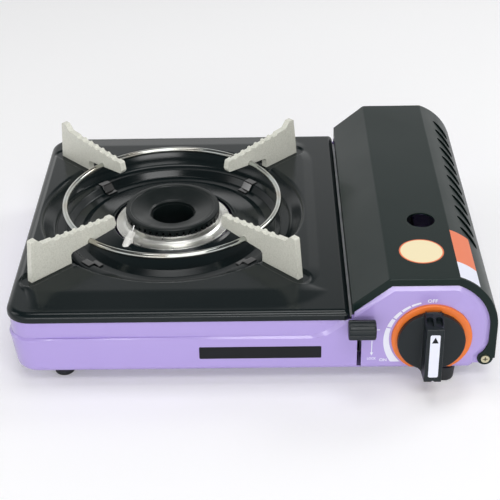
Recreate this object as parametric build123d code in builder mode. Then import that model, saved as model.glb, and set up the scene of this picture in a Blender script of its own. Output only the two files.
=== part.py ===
from build123d import *
import math
import os

os.makedirs("parts", exist_ok=True)

# Butane cassette stove, in millimetres. +X points to the cartridge side, +Y to the rear
# and +Z up. The origin is the middle of the footprint, on the table.

# ---------------------------------------------------------------- driving dimensions
# Casing
casing_width = 340.0
right_x = casing_width / 2
left_x = -right_x
casing_depth = 266.5
knob_reach = 22.0
screw_head_height = 1.4
foot_height = 12.0
casing_right = right_x - 14.0
belt_z = 41.0
belt_step = 1.6
casing_top = 57.8
side_draft = 3.5
corner_radius = 18.0
bottom_radius = 5.0
sheet = 1.0
right_wall_top = 34.0
arch_depth = 12.0
foot_radius = 8.0
foot_head_depth = 6.0
foot_left_x = left_x + 35.5
foot_left_inset = 19.0
foot_right_x = right_x - 34.0
foot_right_inset = 8.5
screw_radius = 1.5
screw_head_radius = 3.0
floor_slot_circle = 58.0
floor_slot_count = 8
lever_slot_top = 54.0
post_radius = 4.0
post_inset = 12.0
post_left_x = left_x + 24.0
post_right_x = right_x - 120.0

# Top plate and bowl
plate_z = 61.0
plate_skirt = 6.7
plate_edge_radius = 4.5
plate_margin = 0.2
plate_depth = casing_depth - 2 * plate_margin
plate_right = right_x - 101.6
plate_right_corner = 3.5
plateau_rise = 1.5
plateau_right = plate_right - 26.6
plateau_slope = 8.0
plateau_left_margin = 7.0
plateau_left_slope = 2.3
plateau_front_margin = 28.0
plateau_rear_margin = 19.0
plateau_corner = 30.0
bowl_radius = (plate_right - left_x) / 2 - 18.2
bowl_floor_radius = bowl_radius - 9.5
bowl_floor_z = 51.0
bowl_hole_radius = bowl_floor_radius - 6.5
bowl_rim_radius = 2.0
pan_flange_radius = bowl_floor_radius - 1.5
pan_bend_radius = bowl_hole_radius - 2.0
pan_trough_radius = pan_bend_radius - 4.0
pan_trough_z = 46.5
pan_hole_gap = 1.9
pan_hole_z = 53.5
clip_width = 9.0
pocket_width = 16.0
pocket_end_radius = bowl_radius + 43.0
pocket_floor_z = 60.4

# Burner and pan support
burner_x = plateau_right - bowl_radius - 1.6
burner_from_front = 139.8
ring_radius = bowl_radius - 18.8
ring_wire = 4.5
ring_z = 71.4
prong_thickness = 5.0
prong_foot_outer = pocket_end_radius - 7.5
prong_foot_inner = bowl_radius - 0.5
prong_tip_radius = ring_radius - 24.6
prong_tip_z = ring_z + 10.8
prong_back_z = prong_tip_z + 4.4
prong_ear_z = prong_back_z + 5.9
tooth_pitch = 7.4
tooth_count = 7
cap_radius = 36.3
cap_top_z = 65.6
cap_seat_z = 59.5
cap_hole_radius = 16.8
cap_slots = 44
cap_slot_width = 1.5
skirt_radius = 44.3
skirt_z = 53.2
skirt_rise = 0.6
burner_base_z = 30.0
chamber_radius = 30.0
air_tube_radius = 16.0
air_tube_outer = 18.5
chamber_top_z = 44.0
flange_thickness = 1.2
tube_z = 36.0
tube_radius = 9.0
tube_wall = 1.2
tube_stand_off = 16.7
electrode_angle = 226.0
electrode_radius = 3.5
electrode_tip_radius = 2.8
electrode_step = 6.0
electrode_low = (skirt_radius + 10.3, burner_base_z + 11.0)
electrode_high = (skirt_radius - 2.7, cap_seat_z + 2.0)
wire_radius = 0.7
wire_length = 4.5
lead_radius = 1.2

# Cartridge cover
cover_left = right_x - 100.3
cover_skirt_z = 59.5
cover_shoulder_z = 67.5
cover_flat_left = cover_left + 24.5
cover_flat_right = right_x - 28.2
cover_top = 87.6
cover_bulge_x = right_x - 8.8
cover_bulge_z = 73.2
cover_side_z = 46.0
cover_bottom_z = 21.5
cover_flange = 5.5
cover_bend = 3.0
cover_gap = 1.2
hinge_x = right_x - 7.0
hinge_z = 21.0
lug_radius = 5.5
hinge_pin_radius = 2.0
port_radius = 10.0
port_x = right_x - 47.0
port_from_front = 77.2
louvre_count = 12
louvre_first = 68.6
louvre_last = casing_depth - 27.4
louvre_length = 20.0
louvre_width = 2.8
louvre_slant = -40.0
louvre_turn = 46.0

# Knob and gas control
knob_x = right_x - 45.8
knob_z = 39.3
knob_radius = 23.3
knob_disc = 3.8
knob_gap = 0.5
bar_width = 12.6
bar_length = 45.5
bezel_radius = 27.8
bezel_height = 2.2
bezel_spigot = 20.0
spindle_radius = 3.0
spindle_flat = 2.2
governor_radius = 17.0
governor_front = 12.0
governor_rear = 50.0
governor_shoulder = 28.0
block_width = 34.0
block_height = 34.0
block_x = knob_x - 6.2
block_z = 46.0
inlet_radius = 5.2
inlet_depth = 6.0
outlet_x = knob_x - 28.2
pipe_y = 44.0
pipe_radius = 3.0
piezo_x = knob_x - 20.2
piezo_z = 23.5
piezo_radius = 4.8
piezo_length = 30.0

# Cartridge bay
cartridge_length = casing_depth - 80.5
cartridge_x = right_x - 53.5
cartridge_z = 51.8
connection_y = 52.0
collar_radius = 14.0
wall_x = cover_left - 3.9
pipe_turn_x = wall_x - 3.8

# Lever and carriage
lever_x = cover_left + 5.45
lever_thickness = 2.0
lever_slot = 3.0
pivot_y = 26.0
pivot_z = 30.0
grip_y = -10.0
grip_z = 53.5
grip_radius = 7.0
grip_width = 18.8
crank_radius = 13.0
lever_swing = 32.0
lever_pin_radius = 2.0
carriage_lift = 1.2
carriage_sheet = 1.5
carriage_left = cartridge_x - 32.5
carriage_right = cartridge_x + 32.5
tab_x = lever_x + 3.75
spring_x = carriage_left + 9.0
spring_lift = 6.3
spring_radius = 2.8
spring_wire = 0.8
spring_turns = 6
lug_y = 69.8
guide_front = 75.0
guide_length = casing_depth - 114.0

# Clearances
shaft_gap = 0.05
slide_gap = 0.3

# ---------------------------------------------------------------- worked-out places
front_y = -(casing_depth + screw_head_height - knob_reach) / 2
rear_y = front_y + casing_depth
mid_y = (front_y + rear_y) / 2
floor_z = foot_height + sheet
carriage_z = floor_z + carriage_lift
spring_z = carriage_z + spring_lift
pan_hole_radius = skirt_radius + pan_hole_gap
louvre_pitch = (louvre_last - louvre_first) / (louvre_count - 1)
burner_y = front_y + burner_from_front
plate_left = left_x + plate_margin
plate_front = front_y + plate_margin
plate_rear = plate_front + plate_depth
plateau_z = plate_z + plateau_rise
border_y = front_y + belt_step
crank_lean = lever_swing / 2
crank_y = front_y + pivot_y + crank_radius * math.sin(math.radians(crank_lean))
crank_z = pivot_z + crank_radius * math.cos(math.radians(crank_lean))
carriage_travel = 2 * crank_radius * math.sin(math.radians(crank_lean))
connection_back = front_y + connection_y + sheet
pusher_y = connection_back + cartridge_length + carriage_travel + slide_gap
foot_names = ["front_left", "front_right", "rear_left", "rear_right"]
foot_places = [
    (foot_left_x, front_y + foot_left_inset),
    (foot_right_x, front_y + foot_right_inset),
    (foot_left_x, rear_y - foot_left_inset),
    (foot_right_x, rear_y - foot_right_inset),
]
burner_axis = Axis((burner_x, burner_y, 0), (0, 0, 1))
pipe_turn = Vector(pipe_turn_x, front_y + pipe_y, tube_z)
tube_run = pipe_turn - Vector(burner_x, burner_y, tube_z)
tube_way = tube_run.normalized()
tube_end = tube_run.length - tube_stand_off
tube_angle = math.degrees(math.atan2(tube_way.Y, tube_way.X))
tube_plane = Plane(origin=(burner_x, burner_y, tube_z), z_dir=tube_way)
leg_reach = chamber_radius + 5.0
leg_way = Vector(-tube_way.Y, tube_way.X, 0)
post_places = [
    (post_left_x, front_y + post_inset),
    (post_right_x, front_y + post_inset),
    (post_left_x, rear_y - post_inset),
    (post_right_x, rear_y - post_inset),
]
base_screw_places = [
    (wall_x - 5, front_y + 60),
    (wall_x - 5, rear_y - 60),
    (burner_x + leg_reach * leg_way.X, burner_y + leg_reach * leg_way.Y),
    (burner_x - leg_reach * leg_way.X, burner_y - leg_reach * leg_way.Y),
    (knob_x - 7, front_y + 18),
]
print("carriage travel", round(carriage_travel, 4), "mm for", lever_swing, "degrees")


def plane_at_y(y):
    # a plane that faces the front of the stove: local x is X, local y is Z
    return Plane.XZ.offset(-y)


def radial_plane(angle):
    # an upright plane through the burner's axis: local x is the radius, local y is Z
    out = Vector(math.cos(math.radians(angle)), math.sin(math.radians(angle)), 0)
    return Plane(origin=(burner_x, burner_y, 0), x_dir=out, z_dir=out.cross(Vector(0, 0, 1)))


def save(item, name):
    item.part.label = name
    export_step(item.part, "parts/" + name + ".step")
    print(name, len(item.solids()), "solids", round(item.part.volume), "mm3")


def rounded_plan(x_low, x_high, y_low, y_high, left_radius, right_radius):
    with BuildSketch() as plan:
        with Locations(((x_low + x_high) / 2, (y_low + y_high) / 2)):
            Rectangle(x_high - x_low, y_high - y_low)
        fillet(plan.vertices().group_by(Axis.X)[0], left_radius)
        fillet(plan.vertices().group_by(Axis.X)[-1], right_radius)
    return plan.sketch


# ---------------------------------------------------------------- cover outline
diagonal_run = cover_flat_left - cover_left
diagonal_rise = cover_top - cover_shoulder_z


def arch_face(inset, bottom, diagonal_to_bottom=False):
    # the cover's end view, moved inwards by inset, and closed by a line below bottom
    low = bottom - inset
    foot_x = cover_left
    foot_z = cover_shoulder_z
    if diagonal_to_bottom:
        foot_x = cover_left - (cover_shoulder_z - low) * diagonal_run / diagonal_rise
        foot_z = low
    with BuildSketch() as face:
        with BuildLine():
            Polyline((right_x, cover_side_z), (right_x, low), (foot_x, low))
            if not diagonal_to_bottom:
                Line((foot_x, low), (foot_x, foot_z))
            Polyline((foot_x, foot_z), (cover_flat_left, cover_top), (cover_flat_right, cover_top))
            ThreePointArc(
                (cover_flat_right, cover_top), (cover_bulge_x, cover_bulge_z), (right_x, cover_side_z)
            )
        make_face()
        corners = face.vertices().filter_by(lambda v: v.Y > cover_top - 0.1)
        fillet(corners, cover_bend)
        if inset:
            offset(amount=-inset, kind=Kind.INTERSECTION)
    return face.sketch


# ---------------------------------------------------------------- casing
def tray_form(inset):
    # the pressed body below and inside the belt line, inset by the sheet for its hollow
    with BuildPart() as form:
        with BuildSketch(Plane.XY.offset(foot_height + inset)):
            add(
                rounded_plan(
                    left_x + side_draft + inset, casing_right - inset,
                    front_y + inset, rear_y - inset, corner_radius - inset, bottom_radius,
                )
            )
        with BuildSketch(Plane.XY.offset(belt_z - inset)):
            add(
                rounded_plan(
                    left_x + inset, casing_right - inset,
                    front_y + inset, rear_y - inset, corner_radius - inset, bottom_radius,
                )
            )
        loft()
        fillet(form.edges().group_by(Axis.Z)[0], bottom_radius - inset)
        chamfer(form.edges().group_by(Axis.Z)[-1], belt_step - 0.2)
        neck = belt_step + inset
        neck_top = casing_top + inset
        with BuildSketch(Plane.XY.offset(belt_z - 2 * belt_step)):
            add(
                rounded_plan(
                    left_x + neck, casing_right - neck,
                    front_y + neck, rear_y - neck, corner_radius - neck, bottom_radius,
                )
            )
        extrude(amount=neck_top - belt_z + 2 * belt_step)
    return form.part


arch_inset = sheet + cover_gap
pad_base_inset = cover_flange + 0.8
pad_top_inset = pad_base_inset + 3.2
ear_hinge_radius = right_x - arch_inset - hinge_x
sweep_reach = math.hypot(hinge_x - cover_left - sheet, cover_skirt_z - hinge_z) - 0.5
notch_radius = lug_radius + 0.9
belt_curve = 30.0
notch_corner = 7.0


def arch_plate(inset):
    # the end wall that closes the arch, with a rounded ear around the hinge screw
    with BuildSketch() as plate:
        add(arch_face(arch_inset + inset, hinge_z))
        with Locations((hinge_x, hinge_z)):
            Circle(sweep_reach - inset, mode=Mode.INTERSECT)
        with Locations((casing_right + 20, hinge_z - 20)):
            Rectangle(40, 40, mode=Mode.SUBTRACT)
        with Locations((hinge_x, hinge_z)):
            Circle(ear_hinge_radius - inset)
        with Locations(((casing_right + hinge_x) / 2 - 3, hinge_z)):
            Rectangle(hinge_x - casing_right + 6, 2 * (ear_hinge_radius - inset))
    return plate.sketch


def pad_face(inset, belt):
    # the proud field of the control panel, which sweeps up from the belt line
    with BuildSketch() as face:
        add(arch_face(inset, foot_height + bottom_radius, diagonal_to_bottom=True))
        with Locations((0, belt - 10)):
            Rectangle(2 * casing_right - 10, 20)
        swept = face.vertices().filter_by(lambda v: abs(v.Y - belt) < 0.01 and v.X > 0)
        fillet(swept.sort_by(Axis.X)[0], belt_curve)
        with Locations((casing_right + 20, hinge_z - 20)):
            Rectangle(40, 40, mode=Mode.SUBTRACT)
        with Locations((hinge_x, hinge_z)):
            Circle(notch_radius + inset - pad_base_inset, mode=Mode.SUBTRACT)
        with Locations(((cover_left + 1.5 - 200) / 2, plate_z)):
            Rectangle(cover_left + 1.5 + 200, 2 * (plate_skirt + 0.5), mode=Mode.SUBTRACT)
        with Locations((cover_left - 169.7, belt_z)):
            Rectangle(240, 100, mode=Mode.SUBTRACT)
        # the corner above the hinge is rounded
        corner = face.vertices().sort_by(lambda v: math.hypot(v.X - hinge_x, v.Y - hinge_z))
        fillet([v for v in corner if v.X > hinge_x - 5 and v.Y > hinge_z][0], notch_corner)
    return face.sketch


def pad_form():
    with BuildPart() as form:
        with BuildSketch(plane_at_y(border_y)):
            add(pad_face(pad_base_inset, belt_z))
        with BuildSketch(plane_at_y(front_y)):
            add(pad_face(pad_top_inset, belt_z - belt_step))
        loft(ruled=True)
    return form.part


def arch_form(inset, start, end):
    with BuildPart() as form:
        with BuildSketch(plane_at_y(start)):
            add(arch_plate(inset))
        extrude(amount=start - end)
    return form.part


middle = Plane.XZ.offset(-mid_y)
tray_outer = tray_form(0)
tray_inner = tray_form(sheet)
arch_outer = arch_form(0, border_y, border_y + arch_depth)
arch_inner = arch_form(sheet, border_y + sheet, border_y + arch_depth + 1)
pad_outer = pad_form()

with BuildPart() as casing:
    add(tray_outer)
    add(arch_outer)
    add(pad_outer)
    add(tray_inner, mode=Mode.SUBTRACT)
    add(arch_inner, mode=Mode.SUBTRACT)
    # the low side wall of the bay, between the arches
    with BuildSketch(Plane.XY.offset(right_wall_top)):
        with Locations((casing_right, mid_y)):
            Rectangle(20, casing_depth - 2 * (belt_step + arch_depth))
    extrude(amount=casing_top, mode=Mode.SUBTRACT)
    # hinge hole, and the notch where the corner of the top plate turns to the rear
    with BuildSketch(plane_at_y(front_y - 1)):
        with Locations((hinge_x, hinge_z)):
            Circle(hinge_pin_radius + shaft_gap)
        with Locations((plate_right - 3.5, plate_z)):
            Rectangle(9, 2 * (plate_skirt + slide_gap))
    extrude(amount=-5, mode=Mode.SUBTRACT)
    # front and rear are pressed alike
    split(bisect_by=middle, keep=Keep.TOP)
    mirror(about=middle)
    # knob hole, and the lever slot that is open at the bottom edge
    with BuildSketch(plane_at_y(front_y - 1)):
        with Locations((knob_x, knob_z)):
            Circle(bezel_spigot + shaft_gap)
        with Locations((lever_x, (foot_height + lever_slot_top) / 2)):
            Rectangle(lever_slot, lever_slot_top - foot_height)
    extrude(amount=-4, mode=Mode.SUBTRACT)
    # air slots in the floor below the burner
    with BuildSketch(Plane.XY.offset(foot_height - 1)):
        with Locations((burner_x, burner_y)):
            with PolarLocations(floor_slot_circle, floor_slot_count, start_angle=tube_angle):
                SlotOverall(26, 6, rotation=90)
    extrude(amount=sheet + 2, mode=Mode.SUBTRACT)
    # screw holes for the feet and the inner walls
    with BuildSketch(Plane.XY.offset(foot_height - 1)):
        with Locations(*foot_places, *base_screw_places, *post_places):
            Circle(screw_radius + shaft_gap)
    extrude(amount=sheet + 2, mode=Mode.SUBTRACT)
save(casing, "casing")


# ---------------------------------------------------------------- feet and screws
for name, place in zip(foot_names, foot_places):
    with BuildPart() as foot:
        with BuildSketch():
            with Locations(place):
                Circle(foot_radius - 1)
        with BuildSketch(Plane.XY.offset(foot_height)):
            with Locations(place):
                Circle(foot_radius)
        loft()
        fillet(foot.edges().group_by(Axis.Z)[0], 1.5)
        with BuildSketch():
            with Locations(place):
                Circle(screw_head_radius + 0.4)
        extrude(amount=foot_head_depth, mode=Mode.SUBTRACT)
        with BuildSketch():
            with Locations(place):
                Circle(screw_radius + shaft_gap)
        extrude(amount=foot_height, mode=Mode.SUBTRACT)
    save(foot, "foot_" + name)

with BuildPart() as foot_screws:
    with BuildSketch(Plane.XY.offset(foot_head_depth - 2)):
        with Locations(*foot_places):
            Circle(screw_head_radius)
    extrude(amount=2)
    with BuildSketch(Plane.XY.offset(foot_head_depth)):
        with Locations(*foot_places):
            Circle(screw_radius)
    extrude(amount=floor_z - foot_head_depth + 1.5)
save(foot_screws, "foot_screws")

with BuildPart() as base_screws:
    with BuildSketch(Plane.XY.offset(foot_height - 1.8)):
        with Locations(*base_screw_places, *post_places):
            Circle(screw_head_radius)
    extrude(amount=1.8)
    with BuildSketch(Plane.XY.offset(foot_height)):
        with Locations(*base_screw_places, *post_places):
            Circle(screw_radius)
    extrude(amount=sheet + 3)
save(base_screws, "base_screws")


# ---------------------------------------------------------------- top plate
def plate_solid(drop):
    # the outside of the plate, or with drop the hollow under its sheet
    with BuildPart() as form:
        with BuildSketch(Plane.XY.offset(plate_z - plate_skirt - drop)):
            add(
                rounded_plan(
                    plate_left + drop, plate_right - drop, plate_front + drop, plate_rear - drop,
                    corner_radius - plate_margin - drop, plate_right_corner - drop,
                )
            )
        extrude(amount=plate_skirt)
        fillet(form.edges().group_by(Axis.Z)[-1], plate_edge_radius - drop)
        with BuildSketch(Plane.XY.offset(plate_z - drop)):
            add(
                rounded_plan(
                    left_x + plateau_left_margin - plateau_left_slope,
                    plateau_right + plateau_slope,
                    front_y + plateau_front_margin - plateau_slope,
                    rear_y - plateau_rear_margin + plateau_slope,
                    corner_radius, plateau_corner + plateau_slope,
                )
            )
        with BuildSketch(Plane.XY.offset(plateau_z - drop)):
            add(
                rounded_plan(
                    left_x + plateau_left_margin, plateau_right,
                    front_y + plateau_front_margin, rear_y - plateau_rear_margin,
                    corner_radius, plateau_corner,
                )
            )
        loft()
    return form.part


def bowl_solid(grow):
    # the round hollow of the bowl, or with grow the cup around it
    rim = bowl_radius + grow
    top = plateau_z
    if not grow:
        top = plateau_z + 1
    floor = bowl_floor_z - grow
    with BuildPart() as form:
        with BuildSketch(radial_plane(0)):
            with BuildLine():
                FilletPolyline(
                    (0, floor), (bowl_floor_radius + 0.7 * grow, floor), (rim, plateau_z), radius=2 + grow
                )
                if not grow:
                    Line((rim, plateau_z), (rim, top))
                Polyline((rim, top), (0, top), (0, floor))
            make_face()
        revolve(axis=burner_axis)
    return form.part


def pocket_solid(grow):
    # the four long hollows that the feet of the pan support stand in
    middle_radius = (bowl_floor_radius + pocket_end_radius) / 2
    length = pocket_end_radius - bowl_floor_radius
    with BuildPart() as form:
        with BuildSketch(Plane.XY.offset(pocket_floor_z - grow)):
            with Locations((burner_x, burner_y)):
                with PolarLocations(middle_radius, 4, start_angle=45):
                    SlotOverall(length + 2 * grow, pocket_width + 2 * grow)
        extrude(amount=plateau_z + 1 - pocket_floor_z)
    return form.part


with BuildPart() as top_plate:
    add(plate_solid(0))
    add(bowl_solid(sheet))
    add(bowl_solid(0), mode=Mode.SUBTRACT)
    rim_edges = top_plate.edges().filter_by(GeomType.CIRCLE).group_by(Axis.Z)[-1]
    fillet(rim_edges.filter_by(lambda e: abs(e.radius - bowl_radius) < 0.1), bowl_rim_radius)
    add(pocket_solid(0), mode=Mode.SUBTRACT)
    hollow = plate_solid(sheet) - bowl_solid(sheet) - pocket_solid(sheet)
    add(hollow, mode=Mode.SUBTRACT)
    with BuildSketch(Plane.XY.offset(bowl_floor_z - 2)):
        with Locations((burner_x, burner_y)):
            Circle(bowl_hole_radius)
    extrude(amount=4, mode=Mode.SUBTRACT)
save(top_plate, "top_plate")

with BuildPart() as plate_posts:
    with BuildSketch(Plane.XY.offset(floor_z)):
        with Locations(*post_places):
            Circle(post_radius)
    extrude(amount=plate_z - sheet - floor_z)
    with BuildSketch(Plane.XY.offset(floor_z)):
        with Locations(*post_places):
            Circle(screw_radius + shaft_gap)
    extrude(amount=6, mode=Mode.SUBTRACT)
save(plate_posts, "plate_posts")


# ---------------------------------------------------------------- drip pan
ceramic_plane = radial_plane(electrode_angle)
ceramic_low = ceramic_plane.from_local_coords(Vector(*electrode_low))
ceramic_high = ceramic_plane.from_local_coords(Vector(*electrode_high))
ceramic_way = (ceramic_high - ceramic_low).normalized()
ceramic_length = (ceramic_high - ceramic_low).length
ceramic_base = Plane(origin=ceramic_low, z_dir=ceramic_way)

with BuildPart() as drip_pan:
    with BuildSketch(radial_plane(0)):
        with BuildLine():
            FilletPolyline(
                (pan_flange_radius, bowl_floor_z + sheet / 2),
                (pan_bend_radius, bowl_floor_z + sheet / 2),
                (pan_trough_radius, pan_trough_z),
                (pan_trough_radius - 7, pan_trough_z),
                (pan_trough_radius - 13, pan_trough_z + 2.5), (pan_hole_radius + 2.8, pan_hole_z - 1.5),
                (pan_hole_radius, pan_hole_z),
                radius=1.5,
            )
        trace(line_width=sheet)
    revolve(axis=burner_axis)
    with BuildSketch(ceramic_base):
        Circle(electrode_radius + 0.6)
    extrude(amount=ceramic_length, mode=Mode.SUBTRACT)
save(drip_pan, "drip_pan")

with BuildPart() as clip:
    clip_plane = radial_plane(45)
    with BuildSketch(clip_plane.offset(-clip_width / 2)):
        with BuildLine():
            FilletPolyline(
                (pan_flange_radius - 2.5, bowl_floor_z + 1.5 * sheet),
                (pan_bend_radius - 0.9, bowl_floor_z + 1.5 * sheet),
                (pan_trough_radius - 0.9, pan_trough_z + sheet + 0.1),
                (pan_trough_radius - 5, pan_trough_z + sheet + 0.1),
                radius=1,
            )
        trace(line_width=sheet)
    extrude(amount=clip_width)
with BuildPart() as pan_clips:
    with Locations(Location((burner_x, burner_y, 0))):
        with PolarLocations(0, 4):
            add(Pos(-burner_x, -burner_y, 0) * clip.part)
save(pan_clips, "pan_clips")


# ---------------------------------------------------------------- pan support
with BuildPart() as trivet_ring:
    with Locations((burner_x, burner_y, ring_z)):
        Torus(ring_radius, ring_wire / 2)
save(trivet_ring, "trivet_ring")

teeth_start = prong_tip_radius + 9
prong_names = ["rear_right", "rear_left", "front_left", "front_right"]
for index, name in enumerate(prong_names):
    upright = radial_plane(45 + 90 * index)
    with BuildPart() as prong:
        with BuildSketch(upright.offset(-prong_thickness / 2)):
            with BuildLine():
                FilletPolyline(
                    (prong_foot_inner, pocket_floor_z + 0.1),
                    (prong_foot_inner, ring_z - 3.9),
                    (prong_foot_inner - 1.9, ring_z - 2.2),
                    (ring_radius - 2.2, ring_z - 0.8),
                    (prong_tip_radius + 1.5, ring_z + 1.2),
                    (prong_tip_radius - 0.2, ring_z + 4),
                    (prong_tip_radius + 1.2, prong_tip_z),
                    (prong_foot_inner + 11.5, prong_back_z),
                    (prong_foot_outer - 13, prong_back_z + 0.9),
                    (prong_foot_outer - 8.5, prong_ear_z),
                    (prong_foot_outer - 3.5, prong_ear_z),
                    (prong_foot_outer, pocket_floor_z + 0.1),
                    radius=1.2,
                )
                Line((prong_foot_outer, pocket_floor_z + 0.1), (prong_foot_inner, pocket_floor_z + 0.1))
            make_face()
            # shallow teeth along the upper edge
            rise = (prong_back_z - prong_tip_z) / (prong_foot_inner + 11.5 - prong_tip_radius)
            for tooth in range(tooth_count):
                valley = teeth_start + tooth * tooth_pitch
                with Locations((valley, prong_tip_z + rise * (valley - prong_tip_radius) + 0.3)):
                    SlotCenterToCenter(2.2, 3.2, rotation=math.degrees(math.atan(rise)), mode=Mode.SUBTRACT)
            # seat for the wire ring
            with Locations((ring_radius, ring_z)):
                Circle(ring_wire / 2 + shaft_gap, mode=Mode.SUBTRACT)
            with Locations((ring_radius, ring_z - 3)):
                Rectangle(ring_wire + 2 * shaft_gap, 6, mode=Mode.SUBTRACT)
        extrude(amount=prong_thickness)
    save(prong, "prong_" + name)


# ---------------------------------------------------------------- burner
with BuildPart() as burner_body:
    with BuildSketch(radial_plane(0)):
        with BuildLine():
            Polyline(
                (air_tube_outer + shaft_gap, burner_base_z), (chamber_radius, burner_base_z),
                (chamber_radius, chamber_top_z), (cap_radius - 1.3, skirt_z - flange_thickness),
                (skirt_radius, skirt_z - flange_thickness), (skirt_radius, skirt_z),
                (cap_radius + 2.6, skirt_z + skirt_rise), (cap_radius + 0.8, skirt_z + 1.8),
                (cap_radius, cap_seat_z - 1.5), (cap_radius, cap_seat_z), (cap_radius - 2.8, cap_seat_z),
                (cap_radius - 2.8, cap_seat_z - 7), (chamber_radius - 2.5, chamber_top_z + 1),
                (chamber_radius - 2.5, burner_base_z + 3), (air_tube_outer + shaft_gap, burner_base_z + 3),
                (air_tube_outer + shaft_gap, burner_base_z),
            )
        make_face()
    revolve(axis=burner_axis)
    # inlet boss for the mixing tube
    with BuildSketch(tube_plane.offset(24)):
        Circle(tube_radius + 1.8)
    extrude(amount=20)
    with BuildSketch(tube_plane.offset(26)):
        Circle(tube_radius - tube_wall)
    extrude(amount=20, mode=Mode.SUBTRACT)
    with BuildSketch(tube_plane.offset(30)):
        Circle(tube_radius + shaft_gap)
    extrude(amount=20, mode=Mode.SUBTRACT)
    # notch in the skirt for the electrode
    with BuildSketch(ceramic_base):
        Circle(electrode_radius + 0.6)
    extrude(amount=ceramic_length, mode=Mode.SUBTRACT)
save(burner_body, "burner_body")

with BuildPart() as air_tube:
    with BuildSketch(Plane.XY.offset(burner_base_z)):
        with Locations((burner_x, burner_y)):
            Circle(air_tube_outer)
            Circle(air_tube_radius, mode=Mode.SUBTRACT)
    extrude(amount=cap_seat_z - 2 - burner_base_z)
save(air_tube, "air_tube")

with BuildPart() as burner_cap:
    with BuildSketch(radial_plane(0)):
        with BuildLine():
            Polyline(
                (cap_radius, cap_seat_z), (cap_radius, cap_top_z - 1.2), (cap_radius - 1.2, cap_top_z),
                (cap_radius - 3.7, cap_top_z), (cap_radius - 4.3, cap_top_z - 0.8),
                (cap_radius - 6.1, cap_top_z - 1.2), (cap_hole_radius + 5.2, cap_top_z - 3.6),
                (cap_hole_radius + 1.8, cap_seat_z + 1.4), (cap_hole_radius, cap_seat_z + 0.4),
                (cap_hole_radius, cap_seat_z - 2), (air_tube_outer, cap_seat_z - 2),
                (air_tube_outer, cap_seat_z - 0.6), (cap_hole_radius + 5.2, cap_seat_z + 0.5),
                (cap_radius - 6.3, cap_seat_z + 2.9), (cap_radius - 3.8, cap_seat_z + 3.3),
                (cap_radius - 3.8, cap_seat_z), (cap_radius, cap_seat_z),
            )
        make_face()
    revolve(axis=burner_axis)
    # flame slots around the rim and the inner lip
    with BuildSketch(Plane.XY.offset(cap_seat_z - 1)):
        with Locations((burner_x, burner_y)):
            with PolarLocations(cap_radius - 1, cap_slots):
                Rectangle(7, cap_slot_width)
    extrude(amount=4, mode=Mode.SUBTRACT)
save(burner_cap, "burner_cap")

with BuildPart() as burner_bracket:
    with BuildSketch(Plane.XY.offset(floor_z)):
        with Locations(Location((burner_x, burner_y, 0), (0, 0, tube_angle))):
            with Locations((0, leg_reach - 0.4), (0, 0.4 - leg_reach)):
                Rectangle(18, 12)
    extrude(amount=1.2)
    with BuildSketch(Plane.XY.offset(floor_z)):
        with Locations(Location((burner_x, burner_y, 0), (0, 0, tube_angle))):
            with Locations((0, leg_reach - 5.8), (0, 5.8 - leg_reach)):
                Rectangle(18, 1.2)
    extrude(amount=burner_base_z - floor_z)
    with BuildSketch(Plane.XY.offset(burner_base_z - 1.2)):
        with Locations(Location((burner_x, burner_y, 0), (0, 0, tube_angle))):
            Rectangle(18, 2 * leg_reach - 10.4)
    extrude(amount=1.2)
    with BuildSketch(Plane.XY.offset(floor_z)):
        with Locations((burner_x, burner_y)):
            Circle(6)
        with Locations(*base_screw_places):
            Circle(screw_radius + shaft_gap)
    extrude(amount=burner_base_z, mode=Mode.SUBTRACT)
save(burner_bracket, "burner_bracket")

jet_face = tube_end - 10
with BuildPart() as mixing_tube:
    with BuildSketch(tube_plane.offset(30)):
        Circle(tube_radius)
    extrude(amount=tube_end - 30)
    with BuildSketch(tube_plane.offset(29)):
        Circle(tube_radius - tube_wall)
    extrude(amount=tube_end - tube_wall - 29, mode=Mode.SUBTRACT)
    with BuildSketch(tube_plane.offset(tube_end - 2)):
        Circle(4 + shaft_gap)
    extrude(amount=4, mode=Mode.SUBTRACT)
    # air windows on both sides, behind the jet
    side = Plane(origin=tube_plane.origin + tube_way * (tube_end - 17), z_dir=leg_way, x_dir=tube_way)
    with BuildSketch(side):
        SlotOverall(14, 8)
    extrude(amount=2 * tube_radius, both=True, mode=Mode.SUBTRACT)
save(mixing_tube, "mixing_tube")

with BuildPart() as gas_jet:
    with BuildSketch(tube_plane.offset(jet_face)):
        Circle(4)
    extrude(amount=12)
    with BuildSketch(tube_plane.offset(tube_end)):
        RegularPolygon(6.5, 6)
    extrude(amount=4)
    with BuildSketch(tube_plane.offset(jet_face - 4)):
        Circle(2)
    extrude(amount=4)
    with BuildSketch(tube_plane.offset(jet_face - 4)):
        Circle(0.4)
    extrude(amount=16, mode=Mode.SUBTRACT)
    with BuildSketch(tube_plane.offset(tube_end + 1)):
        Circle(pipe_radius + shaft_gap)
    extrude(amount=4, mode=Mode.SUBTRACT)
save(gas_jet, "gas_jet")

pipe_start = Vector(outlet_x + 3, front_y + pipe_y, tube_z)
pipe_stop = tube_plane.origin + tube_way * (tube_end + 1)
with BuildPart() as gas_pipe:
    with BuildLine() as pipe_path:
        FilletPolyline(pipe_start, pipe_turn, pipe_stop, radius=9)
    with BuildSketch(Plane(origin=pipe_start, z_dir=(-1, 0, 0))):
        Circle(pipe_radius)
        Circle(pipe_radius - 0.9, mode=Mode.SUBTRACT)
    sweep(path=pipe_path.wires()[0])
save(gas_pipe, "gas_pipe")


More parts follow.
